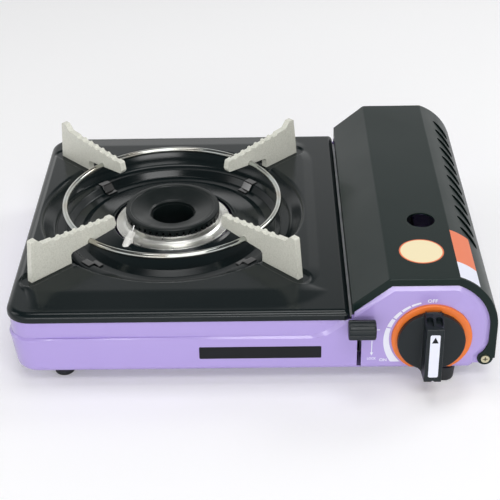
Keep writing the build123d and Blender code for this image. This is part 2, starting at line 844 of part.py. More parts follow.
# ---------------------------------------------------------------- inner walls
lead_y = 46.5
ledge_right = wall_x + 5.4
ledge_z = 53.1
with BuildPart() as bay_wall:
    with BuildSketch(plane_at_y(front_y + 5)):
        with BuildLine():
            Polyline(
                (wall_x - 10, floor_z), (wall_x + 1, floor_z), (wall_x + 1, ledge_z), (ledge_right, ledge_z),
                (ledge_right, cover_skirt_z - slide_gap), (ledge_right - 1, cover_skirt_z - slide_gap),
                (ledge_right - 1, ledge_z + 1), (wall_x, ledge_z + 1), (wall_x, floor_z + 1),
                (wall_x - 10, floor_z + 1), (wall_x - 10, floor_z),
            )
        make_face()
    extrude(amount=-(casing_depth - 10))
    with BuildSketch(Plane.YZ.offset(wall_x - 3)):
        with Locations((front_y + pipe_y, tube_z)):
            Circle(pipe_radius + 0.7)
        with Locations((front_y + lead_y, piezo_z)):
            Circle(lead_radius + 0.8)
    extrude(amount=6, mode=Mode.SUBTRACT)
    with BuildSketch(Plane.XY.offset(floor_z - 1)):
        with Locations(*base_screw_places):
            Circle(screw_radius + shaft_gap)
    extrude(amount=3, mode=Mode.SUBTRACT)
save(bay_wall, "bay_wall")

with BuildPart() as connection_plate:
    with BuildSketch(plane_at_y(front_y + connection_y)):
        with BuildLine():
            Polyline(
                (wall_x + 1, floor_z), (casing_right - 6, floor_z), (casing_right - 1.5, floor_z + 4.5),
                (casing_right - 1.5, 62), (carriage_right - 3, 74), (carriage_left, 74),
                (wall_x + 8.2, 60), (wall_x + 8.2, ledge_z), (wall_x + 1, ledge_z), (wall_x + 1, floor_z),
            )
        make_face()
        with Locations((cartridge_x, cartridge_z)):
            Circle(collar_radius, mode=Mode.SUBTRACT)
        with Locations(((tab_x + carriage_left + 2) / 2, floor_z + 1.5)):
            Rectangle(carriage_left - tab_x + 4, 5, mode=Mode.SUBTRACT)
    extrude(amount=-sheet)
    with BuildSketch(Plane.XY.offset(floor_z)):
        with Locations((cartridge_x + 7.5, connection_back + 2.5)):
            Rectangle(48, 5)
    extrude(amount=sheet)
save(connection_plate, "connection_plate")


# ---------------------------------------------------------------- gas control
with BuildPart() as governor_body:
    with BuildSketch(plane_at_y(front_y + governor_front)):
        with Locations((knob_x, knob_z)):
            Circle(governor_radius)
    extrude(amount=-(governor_shoulder - governor_front))
    with BuildSketch(plane_at_y(front_y + governor_shoulder)):
        with Locations((block_x, block_z)):
            RectangleRounded(block_width, block_height, 4)
    extrude(amount=-(governor_rear - governor_shoulder))
    with BuildSketch(Plane.YZ.offset(outlet_x)):
        with Locations((front_y + pipe_y, tube_z)):
            Circle(pipe_radius + 2)
    extrude(amount=block_x - block_width / 2 - outlet_x + 1)
    with BuildSketch(plane_at_y(front_y + governor_front)):
        with Locations((knob_x, knob_z)):
            Circle(spindle_radius + shaft_gap)
    extrude(amount=-2.1, mode=Mode.SUBTRACT)
    with BuildSketch(plane_at_y(front_y + governor_rear - inlet_depth)):
        with Locations((cartridge_x, cartridge_z)):
            Circle(inlet_radius)
    extrude(amount=-inlet_depth, mode=Mode.SUBTRACT)
    with BuildSketch(Plane.YZ.offset(outlet_x)):
        with Locations((front_y + pipe_y, tube_z)):
            Circle(pipe_radius + shaft_gap)
    extrude(amount=3, mode=Mode.SUBTRACT)
save(governor_body, "governor_body")

with BuildPart() as governor_cap:
    with BuildSketch(Plane.XY.offset(block_z + block_height / 2)):
        with Locations((block_x, front_y + (governor_shoulder + governor_rear) / 2)):
            Circle(10)
    extrude(amount=5)
    fillet(governor_cap.edges().group_by(Axis.Z)[-1], 1.2)
    with BuildSketch(Plane.XY.offset(block_z + block_height / 2 + 4)):
        with Locations((block_x, front_y + (governor_shoulder + governor_rear) / 2)):
            Rectangle(12, 1.4)
    extrude(amount=2, mode=Mode.SUBTRACT)
save(governor_cap, "governor_cap")

with BuildPart() as inlet_seal:
    with BuildSketch(plane_at_y(front_y + governor_rear - inlet_depth)):
        with Locations((cartridge_x, cartridge_z)):
            Circle(inlet_radius - shaft_gap)
            Circle(2.6, mode=Mode.SUBTRACT)
    extrude(amount=-3)
save(inlet_seal, "inlet_seal")

with BuildPart() as governor_bracket:
    with BuildSketch(plane_at_y(front_y + governor_front - 1.5)):
        with BuildLine():
            Polyline(
                (piezo_x - 7, floor_z), (knob_x + 21.8, floor_z), (knob_x + 21.8, 48), (knob_x + 11.8, 58),
                (knob_x - 10.2, 58), (piezo_x - 7, 34), (piezo_x - 7, floor_z),
            )
        make_face()
        with Locations((knob_x, knob_z)):
            Circle(spindle_radius + 1, mode=Mode.SUBTRACT)
        with Locations((piezo_x, piezo_z)):
            Circle(2 + shaft_gap, mode=Mode.SUBTRACT)
    extrude(amount=-1.5)
    with BuildSketch(Plane.XY.offset(floor_z)):
        with Locations((knob_x - 3, front_y + governor_front + 5.5)):
            Rectangle(30, 14)
        with Locations(base_screw_places[-1]):
            Circle(screw_radius + shaft_gap, mode=Mode.SUBTRACT)
    extrude(amount=1.5)
save(governor_bracket, "governor_bracket")

with BuildPart() as valve_spindle:
    with BuildSketch(plane_at_y(front_y - 13)):
        with Locations((knob_x, knob_z)):
            Circle(spindle_radius)
        with Locations((knob_x, knob_z + spindle_flat + 2)):
            Rectangle(8, 4, mode=Mode.SUBTRACT)
    extrude(amount=-12)
    with BuildSketch(plane_at_y(front_y - 1)):
        with Locations((knob_x, knob_z)):
            Circle(spindle_radius)
    extrude(amount=-(governor_front + 3))
save(valve_spindle, "valve_spindle")

knob_back = front_y - bezel_height - knob_gap
with BuildPart() as knob:
    with BuildSketch(plane_at_y(knob_back)):
        with Locations((knob_x, knob_z)):
            Circle(knob_radius)
    extrude(amount=knob_disc)
    fillet(knob.edges().group_by(Axis.Y)[0], 0.8)
    with BuildSketch(plane_at_y(knob_back)):
        with Locations((knob_x, knob_z)):
            Rectangle(bar_width, bar_length)
    with BuildSketch(plane_at_y(front_y - knob_reach)):
        with Locations((knob_x, knob_z)):
            Rectangle(bar_width - 0.8, bar_length - 2)
    loft()
    fillet(knob.edges().group_by(Axis.Y)[0], 0.8)
    # two hollows in the upper end, a notch in the lower end
    with BuildSketch(Plane.XY.offset(knob_z + bar_length / 2 + 1)):
        with Locations((knob_x - 3.1, front_y - 14.4), (knob_x + 3.1, front_y - 14.4)):
            RectangleRounded(4.4, 9.4, 2.1)
    extrude(amount=-4.2, mode=Mode.SUBTRACT)
    with BuildSketch(plane_at_y(front_y - knob_reach)):
        with Locations((knob_x, knob_z - bar_length / 2 + 1)):
            Rectangle(2, 2, rotation=45)
    extrude(amount=-(knob_reach - 9), mode=Mode.SUBTRACT)
    # bore with a flat for the spindle
    with BuildSketch(plane_at_y(front_y - 13 - shaft_gap)):
        with Locations((knob_x, knob_z)):
            Circle(spindle_radius + shaft_gap)
        with Locations((knob_x, knob_z + spindle_flat + 2 + shaft_gap)):
            Rectangle(8, 4, mode=Mode.SUBTRACT)
    extrude(amount=-12, mode=Mode.SUBTRACT)
save(knob, "knob")

with BuildPart() as knob_bezel:
    with BuildSketch(plane_at_y(front_y)):
        with Locations((knob_x + 0.6, knob_z + 0.1)):
            Circle(bezel_radius)
        with Locations((knob_x, foot_height - 6.5)):
            Rectangle(60, 20, mode=Mode.SUBTRACT)
    extrude(amount=bezel_height)
    fillet(knob_bezel.edges().group_by(Axis.Y)[0], 0.9)
    with BuildSketch(plane_at_y(front_y)):
        with Locations((knob_x, knob_z)):
            Circle(bezel_spigot)
    extrude(amount=-3)
    with BuildSketch(plane_at_y(front_y - bezel_height)):
        with Locations((knob_x, knob_z)):
            Circle(bezel_spigot - 2)
    extrude(amount=-6, mode=Mode.SUBTRACT)
save(knob_bezel, "knob_bezel")


# ---------------------------------------------------------------- ignition
with BuildPart() as piezo_igniter:
    with BuildSketch(plane_at_y(front_y + governor_front)):
        with Locations((piezo_x, piezo_z)):
            Circle(piezo_radius)
    extrude(amount=-piezo_length)
    with BuildSketch(plane_at_y(front_y + governor_front - 4)):
        with Locations((piezo_x, piezo_z)):
            Circle(2)
    extrude(amount=-4)
save(piezo_igniter, "piezo_igniter")

with BuildPart() as electrode_ceramic:
    with BuildSketch(ceramic_base):
        Circle(electrode_radius)
    extrude(amount=ceramic_length - electrode_step)
    fillet(electrode_ceramic.edges().filter_by(GeomType.CIRCLE), 0.6)
    with BuildSketch(ceramic_base):
        Circle(electrode_tip_radius)
    extrude(amount=ceramic_length)
    with BuildSketch(ceramic_base):
        Circle(wire_radius + shaft_gap)
    extrude(amount=ceramic_length, mode=Mode.SUBTRACT)
save(electrode_ceramic, "electrode_ceramic")

with BuildPart() as electrode_wire:
    with BuildSketch(ceramic_base.offset(-2)):
        Circle(wire_radius)
    extrude(amount=ceramic_length + wire_length + 2)
save(electrode_wire, "electrode_wire")

with BuildPart() as electrode_bracket:
    with BuildSketch(Plane.XY.offset(chamber_top_z - 1.4)):
        with Locations(Location((burner_x, burner_y, 0), (0, 0, electrode_angle))):
            with Locations((46, 0)):
                RectangleRounded(40, 11, 3)
        with Locations((burner_x, burner_y)):
            Circle(chamber_radius, mode=Mode.SUBTRACT)
    extrude(amount=1.2)
    with BuildSketch(ceramic_base.offset(-4)):
        Circle(electrode_radius + shaft_gap)
    extrude(amount=ceramic_length, mode=Mode.SUBTRACT)
save(electrode_bracket, "electrode_bracket")

lead_start = Vector(piezo_x, front_y + governor_front + piezo_length, piezo_z)
lead_end = ceramic_low - ceramic_way * 2
lead_low = floor_z + lead_radius + 0.6
with BuildPart() as ignition_lead:
    with BuildLine() as lead_path:
        FilletPolyline(
            lead_start,
            (piezo_x, front_y + lead_y, piezo_z),
            (wall_x - 25.8, front_y + lead_y, piezo_z),
            (wall_x - 45.8, front_y + 40, lead_low),
            (burner_x - 9.2, front_y + 40, lead_low),
            ceramic_low - ceramic_way * 22,
            lead_end,
            radius=4,
        )
    with BuildSketch(Plane(origin=lead_start, z_dir=(0, 1, 0))):
        Circle(lead_radius)
    sweep(path=lead_path.wires()[0])
save(ignition_lead, "ignition_lead")


# ---------------------------------------------------------------- cartridge lock
grip_x = lever_x + 0.85
pivot = Vector(0, front_y + pivot_y, pivot_z)
grip = Vector(0, front_y + grip_y, grip_z)
crank = Vector(0, crank_y, crank_z)


def link_face(start, end, half_width):
    # a flat link between two centres, seen along X: local x is Y, local y is Z
    run = end - start
    tilt = math.degrees(math.atan2(run.Z, run.Y))
    with BuildSketch() as face:
        with Locations(((start.Y + end.Y) / 2, (start.Z + end.Z) / 2)):
            SlotCenterToCenter(run.length, 2 * half_width, rotation=tilt)
    return face.sketch


with BuildPart() as lever_arm:
    with BuildSketch(Plane.YZ.offset(lever_x - lever_thickness / 2)):
        add(link_face(pivot, grip, 3.5))
        add(link_face(pivot, crank, 3.5))
        with Locations((pivot.Y, pivot.Z)):
            Circle(5.5)
            Circle(lever_pin_radius + shaft_gap, mode=Mode.SUBTRACT)
        with Locations((crank.Y, crank.Z)):
            Circle(lever_pin_radius + shaft_gap, mode=Mode.SUBTRACT)
    extrude(amount=lever_thickness)
save(lever_arm, "lever_arm")

with BuildPart() as lever_grip:
    with BuildSketch(Plane.YZ.offset(grip_x - grip_width / 2)):
        with Locations((grip.Y, grip.Z)):
            Circle(grip_radius)
    extrude(amount=grip_width)
    fillet(lever_grip.edges().filter_by(GeomType.CIRCLE), 1.5)
    # flutes for the finger
    with BuildSketch(Plane.YZ.offset(grip_x - grip_width / 2 - 1)):
        with Locations((grip.Y, grip.Z)):
            with PolarLocations(grip_radius + 0.5, 12):
                Circle(1)
    extrude(amount=grip_width + 2, mode=Mode.SUBTRACT)
    # slot for the arm
    with BuildSketch(Plane.YZ.offset(lever_x - lever_thickness / 2)):
        add(link_face(pivot, grip, 3.5))
    extrude(amount=lever_thickness, mode=Mode.SUBTRACT)
save(lever_grip, "lever_grip")

with BuildPart() as lever_pin:
    with BuildSketch(Plane.YZ.offset(lever_x - 3.15)):
        with Locations((pivot.Y, pivot.Z)):
            Circle(lever_pin_radius)
    extrude(amount=tab_x + 2.85 - lever_x)
    with BuildSketch(Plane.YZ.offset(lever_x - 4.35)):
        with Locations((pivot.Y, pivot.Z)):
            Circle(lever_pin_radius + 1)
    extrude(amount=1.2)
save(lever_pin, "lever_pin")

with BuildPart() as lever_bracket:
    with BuildSketch(plane_at_y(front_y + pivot_y - 6)):
        with BuildLine():
            Polyline(
                (lever_x - 3.15, floor_z), (lever_x + 3.25, floor_z), (lever_x + 3.25, pivot_z + 5),
                (lever_x + 2.05, pivot_z + 5), (lever_x + 2.05, floor_z + 1.2),
                (lever_x - 1.95, floor_z + 1.2), (lever_x - 1.95, pivot_z + 5),
                (lever_x - 3.15, pivot_z + 5), (lever_x - 3.15, floor_z),
            )
        make_face()
    extrude(amount=-12)
    with BuildSketch(Plane.YZ.offset(lever_x - 4.15)):
        with Locations((pivot.Y, pivot.Z)):
            Circle(lever_pin_radius + shaft_gap)
    extrude(amount=9, mode=Mode.SUBTRACT)
save(lever_bracket, "lever_bracket")

with BuildPart() as crank_pin:
    with BuildSketch(Plane.YZ.offset(lever_x - lever_thickness / 2)):
        with Locations((crank.Y, crank.Z)):
            Circle(lever_pin_radius)
    extrude(amount=tab_x + carriage_sheet + 0.6 - lever_x + lever_thickness / 2)
save(crank_pin, "crank_pin")

tab_front = front_y + 23.5
tab_back = front_y + 35.5
deck_front = front_y + 61
rib_offset = 16.0
rib_height = 6.6
with BuildPart() as cartridge_carriage:
    # deck, and the narrow strip that leads forward to the lever
    with BuildSketch(Plane.XY.offset(carriage_z)):
        with Locations(((carriage_left + carriage_right) / 2, (deck_front + pusher_y + carriage_sheet) / 2)):
            Rectangle(carriage_right - carriage_left, pusher_y + carriage_sheet - deck_front)
        with Locations(((tab_x + carriage_left + 2) / 2, (front_y + 22 + deck_front + 8) / 2)):
            Rectangle(carriage_left + 2 - tab_x, deck_front + 8 - front_y - 22)
        with Locations((cartridge_x, mid_y + 40)):
            SlotOverall(90, 20, rotation=90, mode=Mode.SUBTRACT)
    extrude(amount=carriage_sheet)
    # front tab with the slot for the crank pin
    with BuildSketch(Plane.YZ.offset(tab_x)):
        with Locations(((tab_front + tab_back) / 2, (carriage_z + 48) / 2)):
            Rectangle(tab_back - tab_front, 48 - carriage_z)
        with Locations((crank.Y, 42.75)):
            Rectangle(2 * lever_pin_radius + 0.4, 6.5, mode=Mode.SUBTRACT)
    extrude(amount=carriage_sheet)
    # rear pusher
    with BuildSketch(plane_at_y(pusher_y)):
        with Locations((cartridge_x, (carriage_z + 56) / 2)):
            RectangleRounded(34, 56 - carriage_z, 3)
        with Locations((cartridge_x, carriage_z + 5)):
            Rectangle(34, 10)
    extrude(amount=-carriage_sheet)
    # cradle ribs and the spring lug
    with BuildSketch(Plane.XY.offset(carriage_z + carriage_sheet)):
        rib_run = pusher_y - deck_front - 10
        with Locations((cartridge_x - rib_offset, deck_front + 10 + rib_run / 2)):
            Rectangle(1.5, rib_run)
        with Locations((cartridge_x + rib_offset, deck_front + 10 + rib_run / 2)):
            Rectangle(1.5, rib_run)
    extrude(amount=rib_height)
    with BuildSketch(plane_at_y(front_y + lug_y)):
        with Locations((spring_x, carriage_z + 5.5)):
            Rectangle(8, 11)
    extrude(amount=-carriage_sheet)
save(cartridge_carriage, "cartridge_carriage")

with BuildPart() as carriage_guides:
    with BuildSketch(plane_at_y(front_y + guide_front)):
        for edge, way in ((carriage_left, -1), (carriage_right, 1)):
            with BuildLine():
                Polyline(
                    (edge - way * 6, floor_z), (edge + way * 1.3, floor_z), (edge + way * 1.3, floor_z + 4),
                    (edge - way * 3, floor_z + 4), (edge - way * 3, floor_z + 3),
                    (edge + way * 0.3, floor_z + 3), (edge + way * 0.3, floor_z + 1),
                    (edge - way * 6, floor_z + 1), (edge - way * 6, floor_z),
                )
            make_face()
    extrude(amount=-guide_length)
save(carriage_guides, "carriage_guides")

spring_start = connection_back + 0.5 * spring_wire
spring_run = front_y + lug_y - connection_back - spring_wire
with BuildPart() as carriage_spring:
    with BuildLine() as coil:
        Helix(
            pitch=spring_run / spring_turns, height=spring_run, radius=spring_radius,
            center=(spring_x, spring_start, spring_z), direction=(0, 1, 0),
        )
    with BuildSketch(Plane(origin=coil.line @ 0, z_dir=coil.line % 0)):
        Circle(spring_wire / 2)
    sweep(path=coil.wires()[0])
save(carriage_spring, "carriage_spring")


# ---------------------------------------------------------------- cartridge cover
louvre_x = right_x - 13.7
louvre_z = 76.7
louvre_plane = Plane(
    origin=(louvre_x, front_y + louvre_first, louvre_z),
    x_dir=(math.cos(math.radians(louvre_turn)), 0, -math.sin(math.radians(louvre_turn))),
    z_dir=(math.sin(math.radians(louvre_turn)), 0, math.cos(math.radians(louvre_turn))),
)
with BuildPart() as cartridge_cover:
    with BuildSketch(plane_at_y(front_y)):
        add(arch_face(0, cover_bottom_z))
    extrude(amount=-casing_depth)
    with BuildSketch(plane_at_y(front_y + sheet)):
        add(arch_face(sheet, cover_bottom_z))
    extrude(amount=-(casing_depth - 2 * sheet), mode=Mode.SUBTRACT)
    # the end walls are narrow flanges
    with BuildSketch(plane_at_y(front_y - 1)):
        add(arch_face(cover_flange, cover_bottom_z - 10, diagonal_to_bottom=True))
        with Locations((cover_left - 20 + sheet, cover_bottom_z)):
            Rectangle(40, 120, mode=Mode.SUBTRACT)
    extrude(amount=-(casing_depth + 2), mode=Mode.SUBTRACT)
    # the left wall ends above the top plate
    with BuildSketch(plane_at_y(front_y - 1)):
        with Locations((cover_left, cover_skirt_z / 2)):
            Rectangle(30, cover_skirt_z, mode=Mode.ADD)
        with Locations((cartridge_x, cover_bottom_z / 2)):
            Rectangle(120, cover_bottom_z)
    extrude(amount=-(casing_depth + 2), mode=Mode.SUBTRACT)
    # hinge lugs
    for lug_front in (front_y, rear_y - sheet):
        with BuildSketch(plane_at_y(lug_front)):
            with Locations((hinge_x, hinge_z)):
                Circle(lug_radius)
            with Locations(((hinge_x + right_x) / 2, hinge_z + 5)):
                Rectangle(right_x - hinge_x, 10)
            with BuildLine():
                lug_side = (hinge_x - 0.94 * lug_radius, hinge_z + 0.34 * lug_radius)
                flange_side = (right_x - cover_flange, hinge_z + 15)
                ThreePointArc(lug_side, (hinge_x - 0.9, hinge_z + 7.1), flange_side)
                Polyline(flange_side, (right_x - sheet / 2, hinge_z + 15), (hinge_x, hinge_z), lug_side)
            make_face()
        extrude(amount=-sheet)
        with BuildSketch(plane_at_y(lug_front)):
            with Locations((hinge_x, hinge_z)):
                Circle(hinge_pin_radius + shaft_gap)
        extrude(amount=-sheet, mode=Mode.SUBTRACT)
    # port in the flat top
    with BuildSketch(Plane.XY.offset(cover_top - 3)):
        with Locations((port_x, front_y + port_from_front)):
            Circle(port_radius)
    extrude(amount=6, mode=Mode.SUBTRACT)
    # slanted air slots along the shoulder
    with BuildSketch(louvre_plane):
        for index in range(louvre_count):
            with Locations((0, index * louvre_pitch)):
                SlotOverall(louvre_length, louvre_width, rotation=louvre_slant)
    extrude(amount=8, both=True, mode=Mode.SUBTRACT)
save(cartridge_cover, "cartridge_cover")

with BuildPart() as hinge_screws:
    for face_y, way in ((front_y, 1), (rear_y, -1)):
        with BuildSketch(plane_at_y(face_y)):
            with Locations((hinge_x, hinge_z)):
                Circle(screw_head_radius)
        extrude(amount=way * screw_head_height)
        with BuildSketch(plane_at_y(face_y)):
            with Locations((hinge_x, hinge_z)):
                Circle(hinge_pin_radius)
        extrude(amount=-way * 6)
        with BuildSketch(plane_at_y(face_y - way * screw_head_height)):
            with Locations((hinge_x, hinge_z)):
                Rectangle(3.4, 0.7)
                Rectangle(0.7, 3.4)
        extrude(amount=-way * 0.7, mode=Mode.SUBTRACT)
save(hinge_screws, "hinge_screws")

with BuildPart() as hinge_nuts:
    for face_y, way in ((border_y + sheet, 1), (2 * mid_y - border_y - sheet, -1)):
        with BuildSketch(plane_at_y(face_y)):
            with Locations((hinge_x, hinge_z)):
                RegularPolygon(3.5, 6)
                Circle(hinge_pin_radius, mode=Mode.SUBTRACT)
        extrude(amount=-way * 2)
save(hinge_nuts, "hinge_nuts")
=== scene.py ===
import math

import bmesh
import bpy
from mathutils import Matrix, Vector


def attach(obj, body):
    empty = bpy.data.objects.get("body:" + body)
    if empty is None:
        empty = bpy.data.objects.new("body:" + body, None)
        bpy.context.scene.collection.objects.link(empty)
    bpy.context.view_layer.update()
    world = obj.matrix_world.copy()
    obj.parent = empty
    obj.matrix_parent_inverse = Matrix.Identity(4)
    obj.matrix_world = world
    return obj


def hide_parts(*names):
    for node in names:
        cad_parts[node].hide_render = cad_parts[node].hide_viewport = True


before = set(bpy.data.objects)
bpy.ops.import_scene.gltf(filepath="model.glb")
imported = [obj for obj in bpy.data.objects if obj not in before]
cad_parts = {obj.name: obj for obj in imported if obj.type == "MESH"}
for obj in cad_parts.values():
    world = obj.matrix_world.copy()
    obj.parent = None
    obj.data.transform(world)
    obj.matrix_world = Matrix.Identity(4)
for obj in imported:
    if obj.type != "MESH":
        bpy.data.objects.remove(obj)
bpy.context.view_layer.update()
mm = 0.001

# places shared by many pieces, in millimetres: the front face, the rear face and the burner's axis
frontY = -122.95
rearY = 143.55
burner = Vector((-60.8, 16.85, 0))
origin = Vector((0, 0, 0))
cornerNames = ("front_left", "front_right", "rear_left", "rear_right")


# materials
def linear(red, green, blue):
    def one(value):
        value = value / 255
        return value / 12.92 if value <= 0.04045 else ((value + 0.055) / 1.055) ** 2.4
    return (one(red), one(green), one(blue), 1)


def mapRange(nodes, fromLow, fromHigh, toLow, toHigh):
    node = nodes.new("ShaderNodeMapRange")
    for key, value in (("From Min", fromLow), ("From Max", fromHigh), ("To Min", toLow), ("To Max", toHigh)):
        node.inputs[key].default_value = value
    return node


def finish(name, colour, metallic=0.0, roughness=0.5, coat=0.0, coatRoughness=0.05, specular=0.5,
           grain=0.0, grainSize=1.0, mottle=0.0, mottleSize=20.0, second=None):
    # grain is a bump height and its size, mottle how far the roughness wanders and over what length, in mm;
    # second is a colour that takes turns with the first
    material = bpy.data.materials.new(name)
    material.use_nodes = True
    nodes = material.node_tree.nodes
    links = material.node_tree.links
    shader = nodes["Principled BSDF"]
    shader.inputs["Base Color"].default_value = colour
    shader.inputs["Metallic"].default_value = metallic
    shader.inputs["Roughness"].default_value = roughness
    shader.inputs["Specular IOR Level"].default_value = specular
    shader.inputs["Coat Weight"].default_value = coat
    shader.inputs["Coat Roughness"].default_value = coatRoughness
    place = nodes.new("ShaderNodeTexCoord")
    if mottle or second:
        cloud = nodes.new("ShaderNodeTexNoise")
        cloud.inputs["Scale"].default_value = 1000 / mottleSize
        cloud.inputs["Detail"].default_value = 4
        links.new(place.outputs["Object"], cloud.inputs["Vector"])
    if mottle:
        # the noise lies mostly between 0.3 and 0.7
        spread = mapRange(nodes, 0.3, 0.7, max(0.02, roughness - mottle), min(1, roughness + mottle))
        links.new(cloud.outputs["Fac"], spread.inputs["Value"])
        links.new(spread.outputs["Result"], shader.inputs["Roughness"])
    if second:
        blend = nodes.new("ShaderNodeMix")
        blend.data_type = "RGBA"
        blend.inputs["A"].default_value = colour
        blend.inputs["B"].default_value = second
        contrast = mapRange(nodes, 0.42, 0.66, 0, 1)
        links.new(cloud.outputs["Fac"], contrast.inputs["Value"])
        links.new(contrast.outputs["Result"], blend.inputs["Factor"])
        links.new(blend.outputs["Result"], shader.inputs["Base Color"])
    if grain:
        fine = nodes.new("ShaderNodeTexNoise")
        fine.inputs["Scale"].default_value = 1000 / grainSize
        fine.inputs["Detail"].default_value = 2
        links.new(place.outputs["Object"], fine.inputs["Vector"])
        bump = nodes.new("ShaderNodeBump")
        bump.inputs["Strength"].default_value = 1.0
        bump.inputs["Distance"].default_value = grain * mm
        links.new(fine.outputs["Fac"], bump.inputs["Height"])
        links.new(bump.outputs["Normal"], shader.inputs["Normal"])
    return material


lilac = finish("lilac paint", linear(176, 157, 221), roughness=0.36, coat=0.9, coatRoughness=0.13,
               grain=0.010, grainSize=0.9, mottle=0.04, mottleSize=60)
enamel = finish("black enamel", (0.0050, 0.0095, 0.0105, 1), roughness=0.18, specular=0.34,
                grain=0.012, grainSize=7, mottle=0.03, mottleSize=70)
coverPaint = finish("black cover paint", (0.0050, 0.0140, 0.0125, 1), roughness=0.4, specular=0.14,
                    coat=0.2, coatRoughness=0.14, grain=0.012, grainSize=0.7, mottle=0.04, mottleSize=50)
ringSteel = finish("polished steel wire", (0.52, 0.55, 0.53, 1), metallic=1, roughness=0.12,
                   mottle=0.05, mottleSize=25, second=(0.44, 0.42, 0.37, 1))
castAluminium = finish("cast aluminium", (0.55, 0.55, 0.55, 1), metallic=1, roughness=0.48,
                       grain=0.05, grainSize=1.2)
capIron = finish("burner cap black", (0.0050, 0.0085, 0.0085, 1), roughness=0.34, specular=0.34,
                 grain=0.010, grainSize=0.8, mottle=0.06, mottleSize=12)
prongEnamel = finish("grey prong enamel", linear(222, 222, 211), roughness=0.42, coat=0.3, coatRoughness=0.2,
                     grain=0.05, grainSize=0.7, mottle=0.05, mottleSize=1.1, second=linear(208, 208, 196))
zinc = finish("zinc sheet", (0.56, 0.57, 0.58, 1), metallic=1, roughness=0.36, mottle=0.1, mottleSize=8,
              second=(0.48, 0.5, 0.53, 1))
clipSteel = finish("clip steel", (0.15, 0.15, 0.15, 1), metallic=1, roughness=0.14)
springSteel = finish("bright steel", (0.62, 0.62, 0.62, 1), metallic=1, roughness=0.24)
screwNickel = finish("screw plating", (0.74, 0.68, 0.47, 1), metallic=1, roughness=0.3)
brass = finish("turned brass", (0.80, 0.58, 0.25, 1), metallic=1, roughness=0.26)
blackPlastic = finish("black plastic", (0.0085, 0.0135, 0.0160, 1), roughness=0.34, specular=0.36,
                      grain=0.02, grainSize=0.6, mottle=0.05, mottleSize=30)
orangePlastic = finish("orange ring plastic", linear(240, 122, 46), roughness=0.36, coat=0.2,
                       coatRoughness=0.15)
footPlastic = finish("foot plastic", (0.014, 0.016, 0.018, 1), roughness=0.5, grain=0.04, grainSize=0.7)
sealRubber = finish("seal rubber", (0.012, 0.012, 0.012, 1), roughness=0.7)
leadRubber = finish("lead sleeve", (0.42, 0.04, 0.03, 1), roughness=0.5)
ceramic = finish("white ceramic", linear(250, 249, 244), roughness=0.3, coat=0.3, coatRoughness=0.1)
whitePrint = finish("white print", linear(232, 234, 248), roughness=0.5)
blackPrint = finish("black print", (0.011, 0.012, 0.014, 1), roughness=0.45, specular=0.2)
creamLabel = finish("cream label", linear(247, 232, 190), roughness=0.4)
orangeLabel = finish("orange label", linear(235, 120, 74), roughness=0.45)


def spunMetal(name, colour, roughness, pitch, depth, centre):
    # turned rings about an upright axis, as fine grooves
    material = finish(name, colour, metallic=1, roughness=roughness, mottle=0.04, mottleSize=9)
    nodes = material.node_tree.nodes
    links = material.node_tree.links
    place = nodes.new("ShaderNodeTexCoord")
    shift = nodes.new("ShaderNodeMapping")
    shift.inputs["Location"].default_value = (-centre.x * mm, -centre.y * mm, 0)
    rings = nodes.new("ShaderNodeTexWave")
    rings.wave_type = "RINGS"
    rings.rings_direction = "Z"
    rings.inputs["Scale"].default_value = 1 / (pitch * mm * 20)  # the rings lie 2 pi pitches apart
    rings.inputs["Distortion"].default_value = 0.6
    rings.inputs["Detail"].default_value = 1
    bump = nodes.new("ShaderNodeBump")
    bump.inputs["Distance"].default_value = depth * mm
    links.new(place.outputs["Object"], shift.inputs["Vector"])
    links.new(shift.outputs["Vector"], rings.inputs["Vector"])
    links.new(rings.outputs["Fac"], bump.inputs["Height"])
    links.new(bump.outputs["Normal"], nodes["Principled BSDF"].inputs["Normal"])
    return material


drumAluminium = spunMetal("spun aluminium", (0.86, 0.86, 0.82, 1), 0.3, 0.8, 0.03, burner)
print("stage: materials ready")


# mesh helpers
def linked(name, data):
    # a new object in the scene
    item = bpy.data.objects.new(name, data)
    bpy.context.scene.collection.objects.link(item)
    return item


def evaluatedMesh(holder):
    # the object's mesh with its modifiers applied
    return bpy.data.meshes.new_from_object(holder.evaluated_get(bpy.context.evaluated_depsgraph_get()))


def newPiece(name, mesh, material, body, replaced=()):
    # a piece that rides on a body, with its material and the nodes whose looks it takes over
    piece = linked(name, mesh)
    mesh.materials.clear()
    mesh.materials.append(material)
    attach(piece, body)
    if replaced:
        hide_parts(*replaced)
    return piece


def shadeByAngle(mesh, degrees=35):
    # smooth faces, with hard edges only where the surface turns sharply
    mesh.shade_smooth()
    bm = bmesh.new()
    bm.from_mesh(mesh)
    limit = math.radians(degrees)
    for edge in bm.edges:
        edge.smooth = len(edge.link_faces) == 2 and edge.calc_face_angle(0) < limit
    bm.to_mesh(mesh)
    bm.free()


def meshFrom(name, points, faces):
    # points are in millimetres
    mesh = bpy.data.meshes.new(name)
    mesh.from_pydata([tuple(c * mm for c in p) for p in points], [], faces)
    mesh.validate()
    mesh.update()
    return mesh


def faceOutwards(mesh, merge=0.0):
    # points closer than merge are joined, and all faces turned outwards
    bm = bmesh.new()
    bm.from_mesh(mesh)
    if merge:
        bmesh.ops.remove_doubles(bm, verts=bm.verts, dist=merge * mm)
    bmesh.ops.recalc_face_normals(bm, faces=bm.faces)
    bm.to_mesh(mesh)
    bm.free()
    return mesh


def evenNormals(mesh):
    # large flat faces stay flat next to rounded edges
    holder = linked("holder", mesh)
    modifier = holder.modifiers.new("even", "WEIGHTED_NORMAL")
    modifier.keep_sharp = True
    modifier.weight = 80
    result = evaluatedMesh(holder)
    holder.modifiers.clear()
    bpy.data.objects.remove(holder)
    return result


def bevelEdges(bm, edges, width, segments):
    bmesh.ops.bevel(bm, geom=edges, offset=width * mm, segments=segments, profile=0.5, affect="EDGES",
                    clamp_overlap=True)


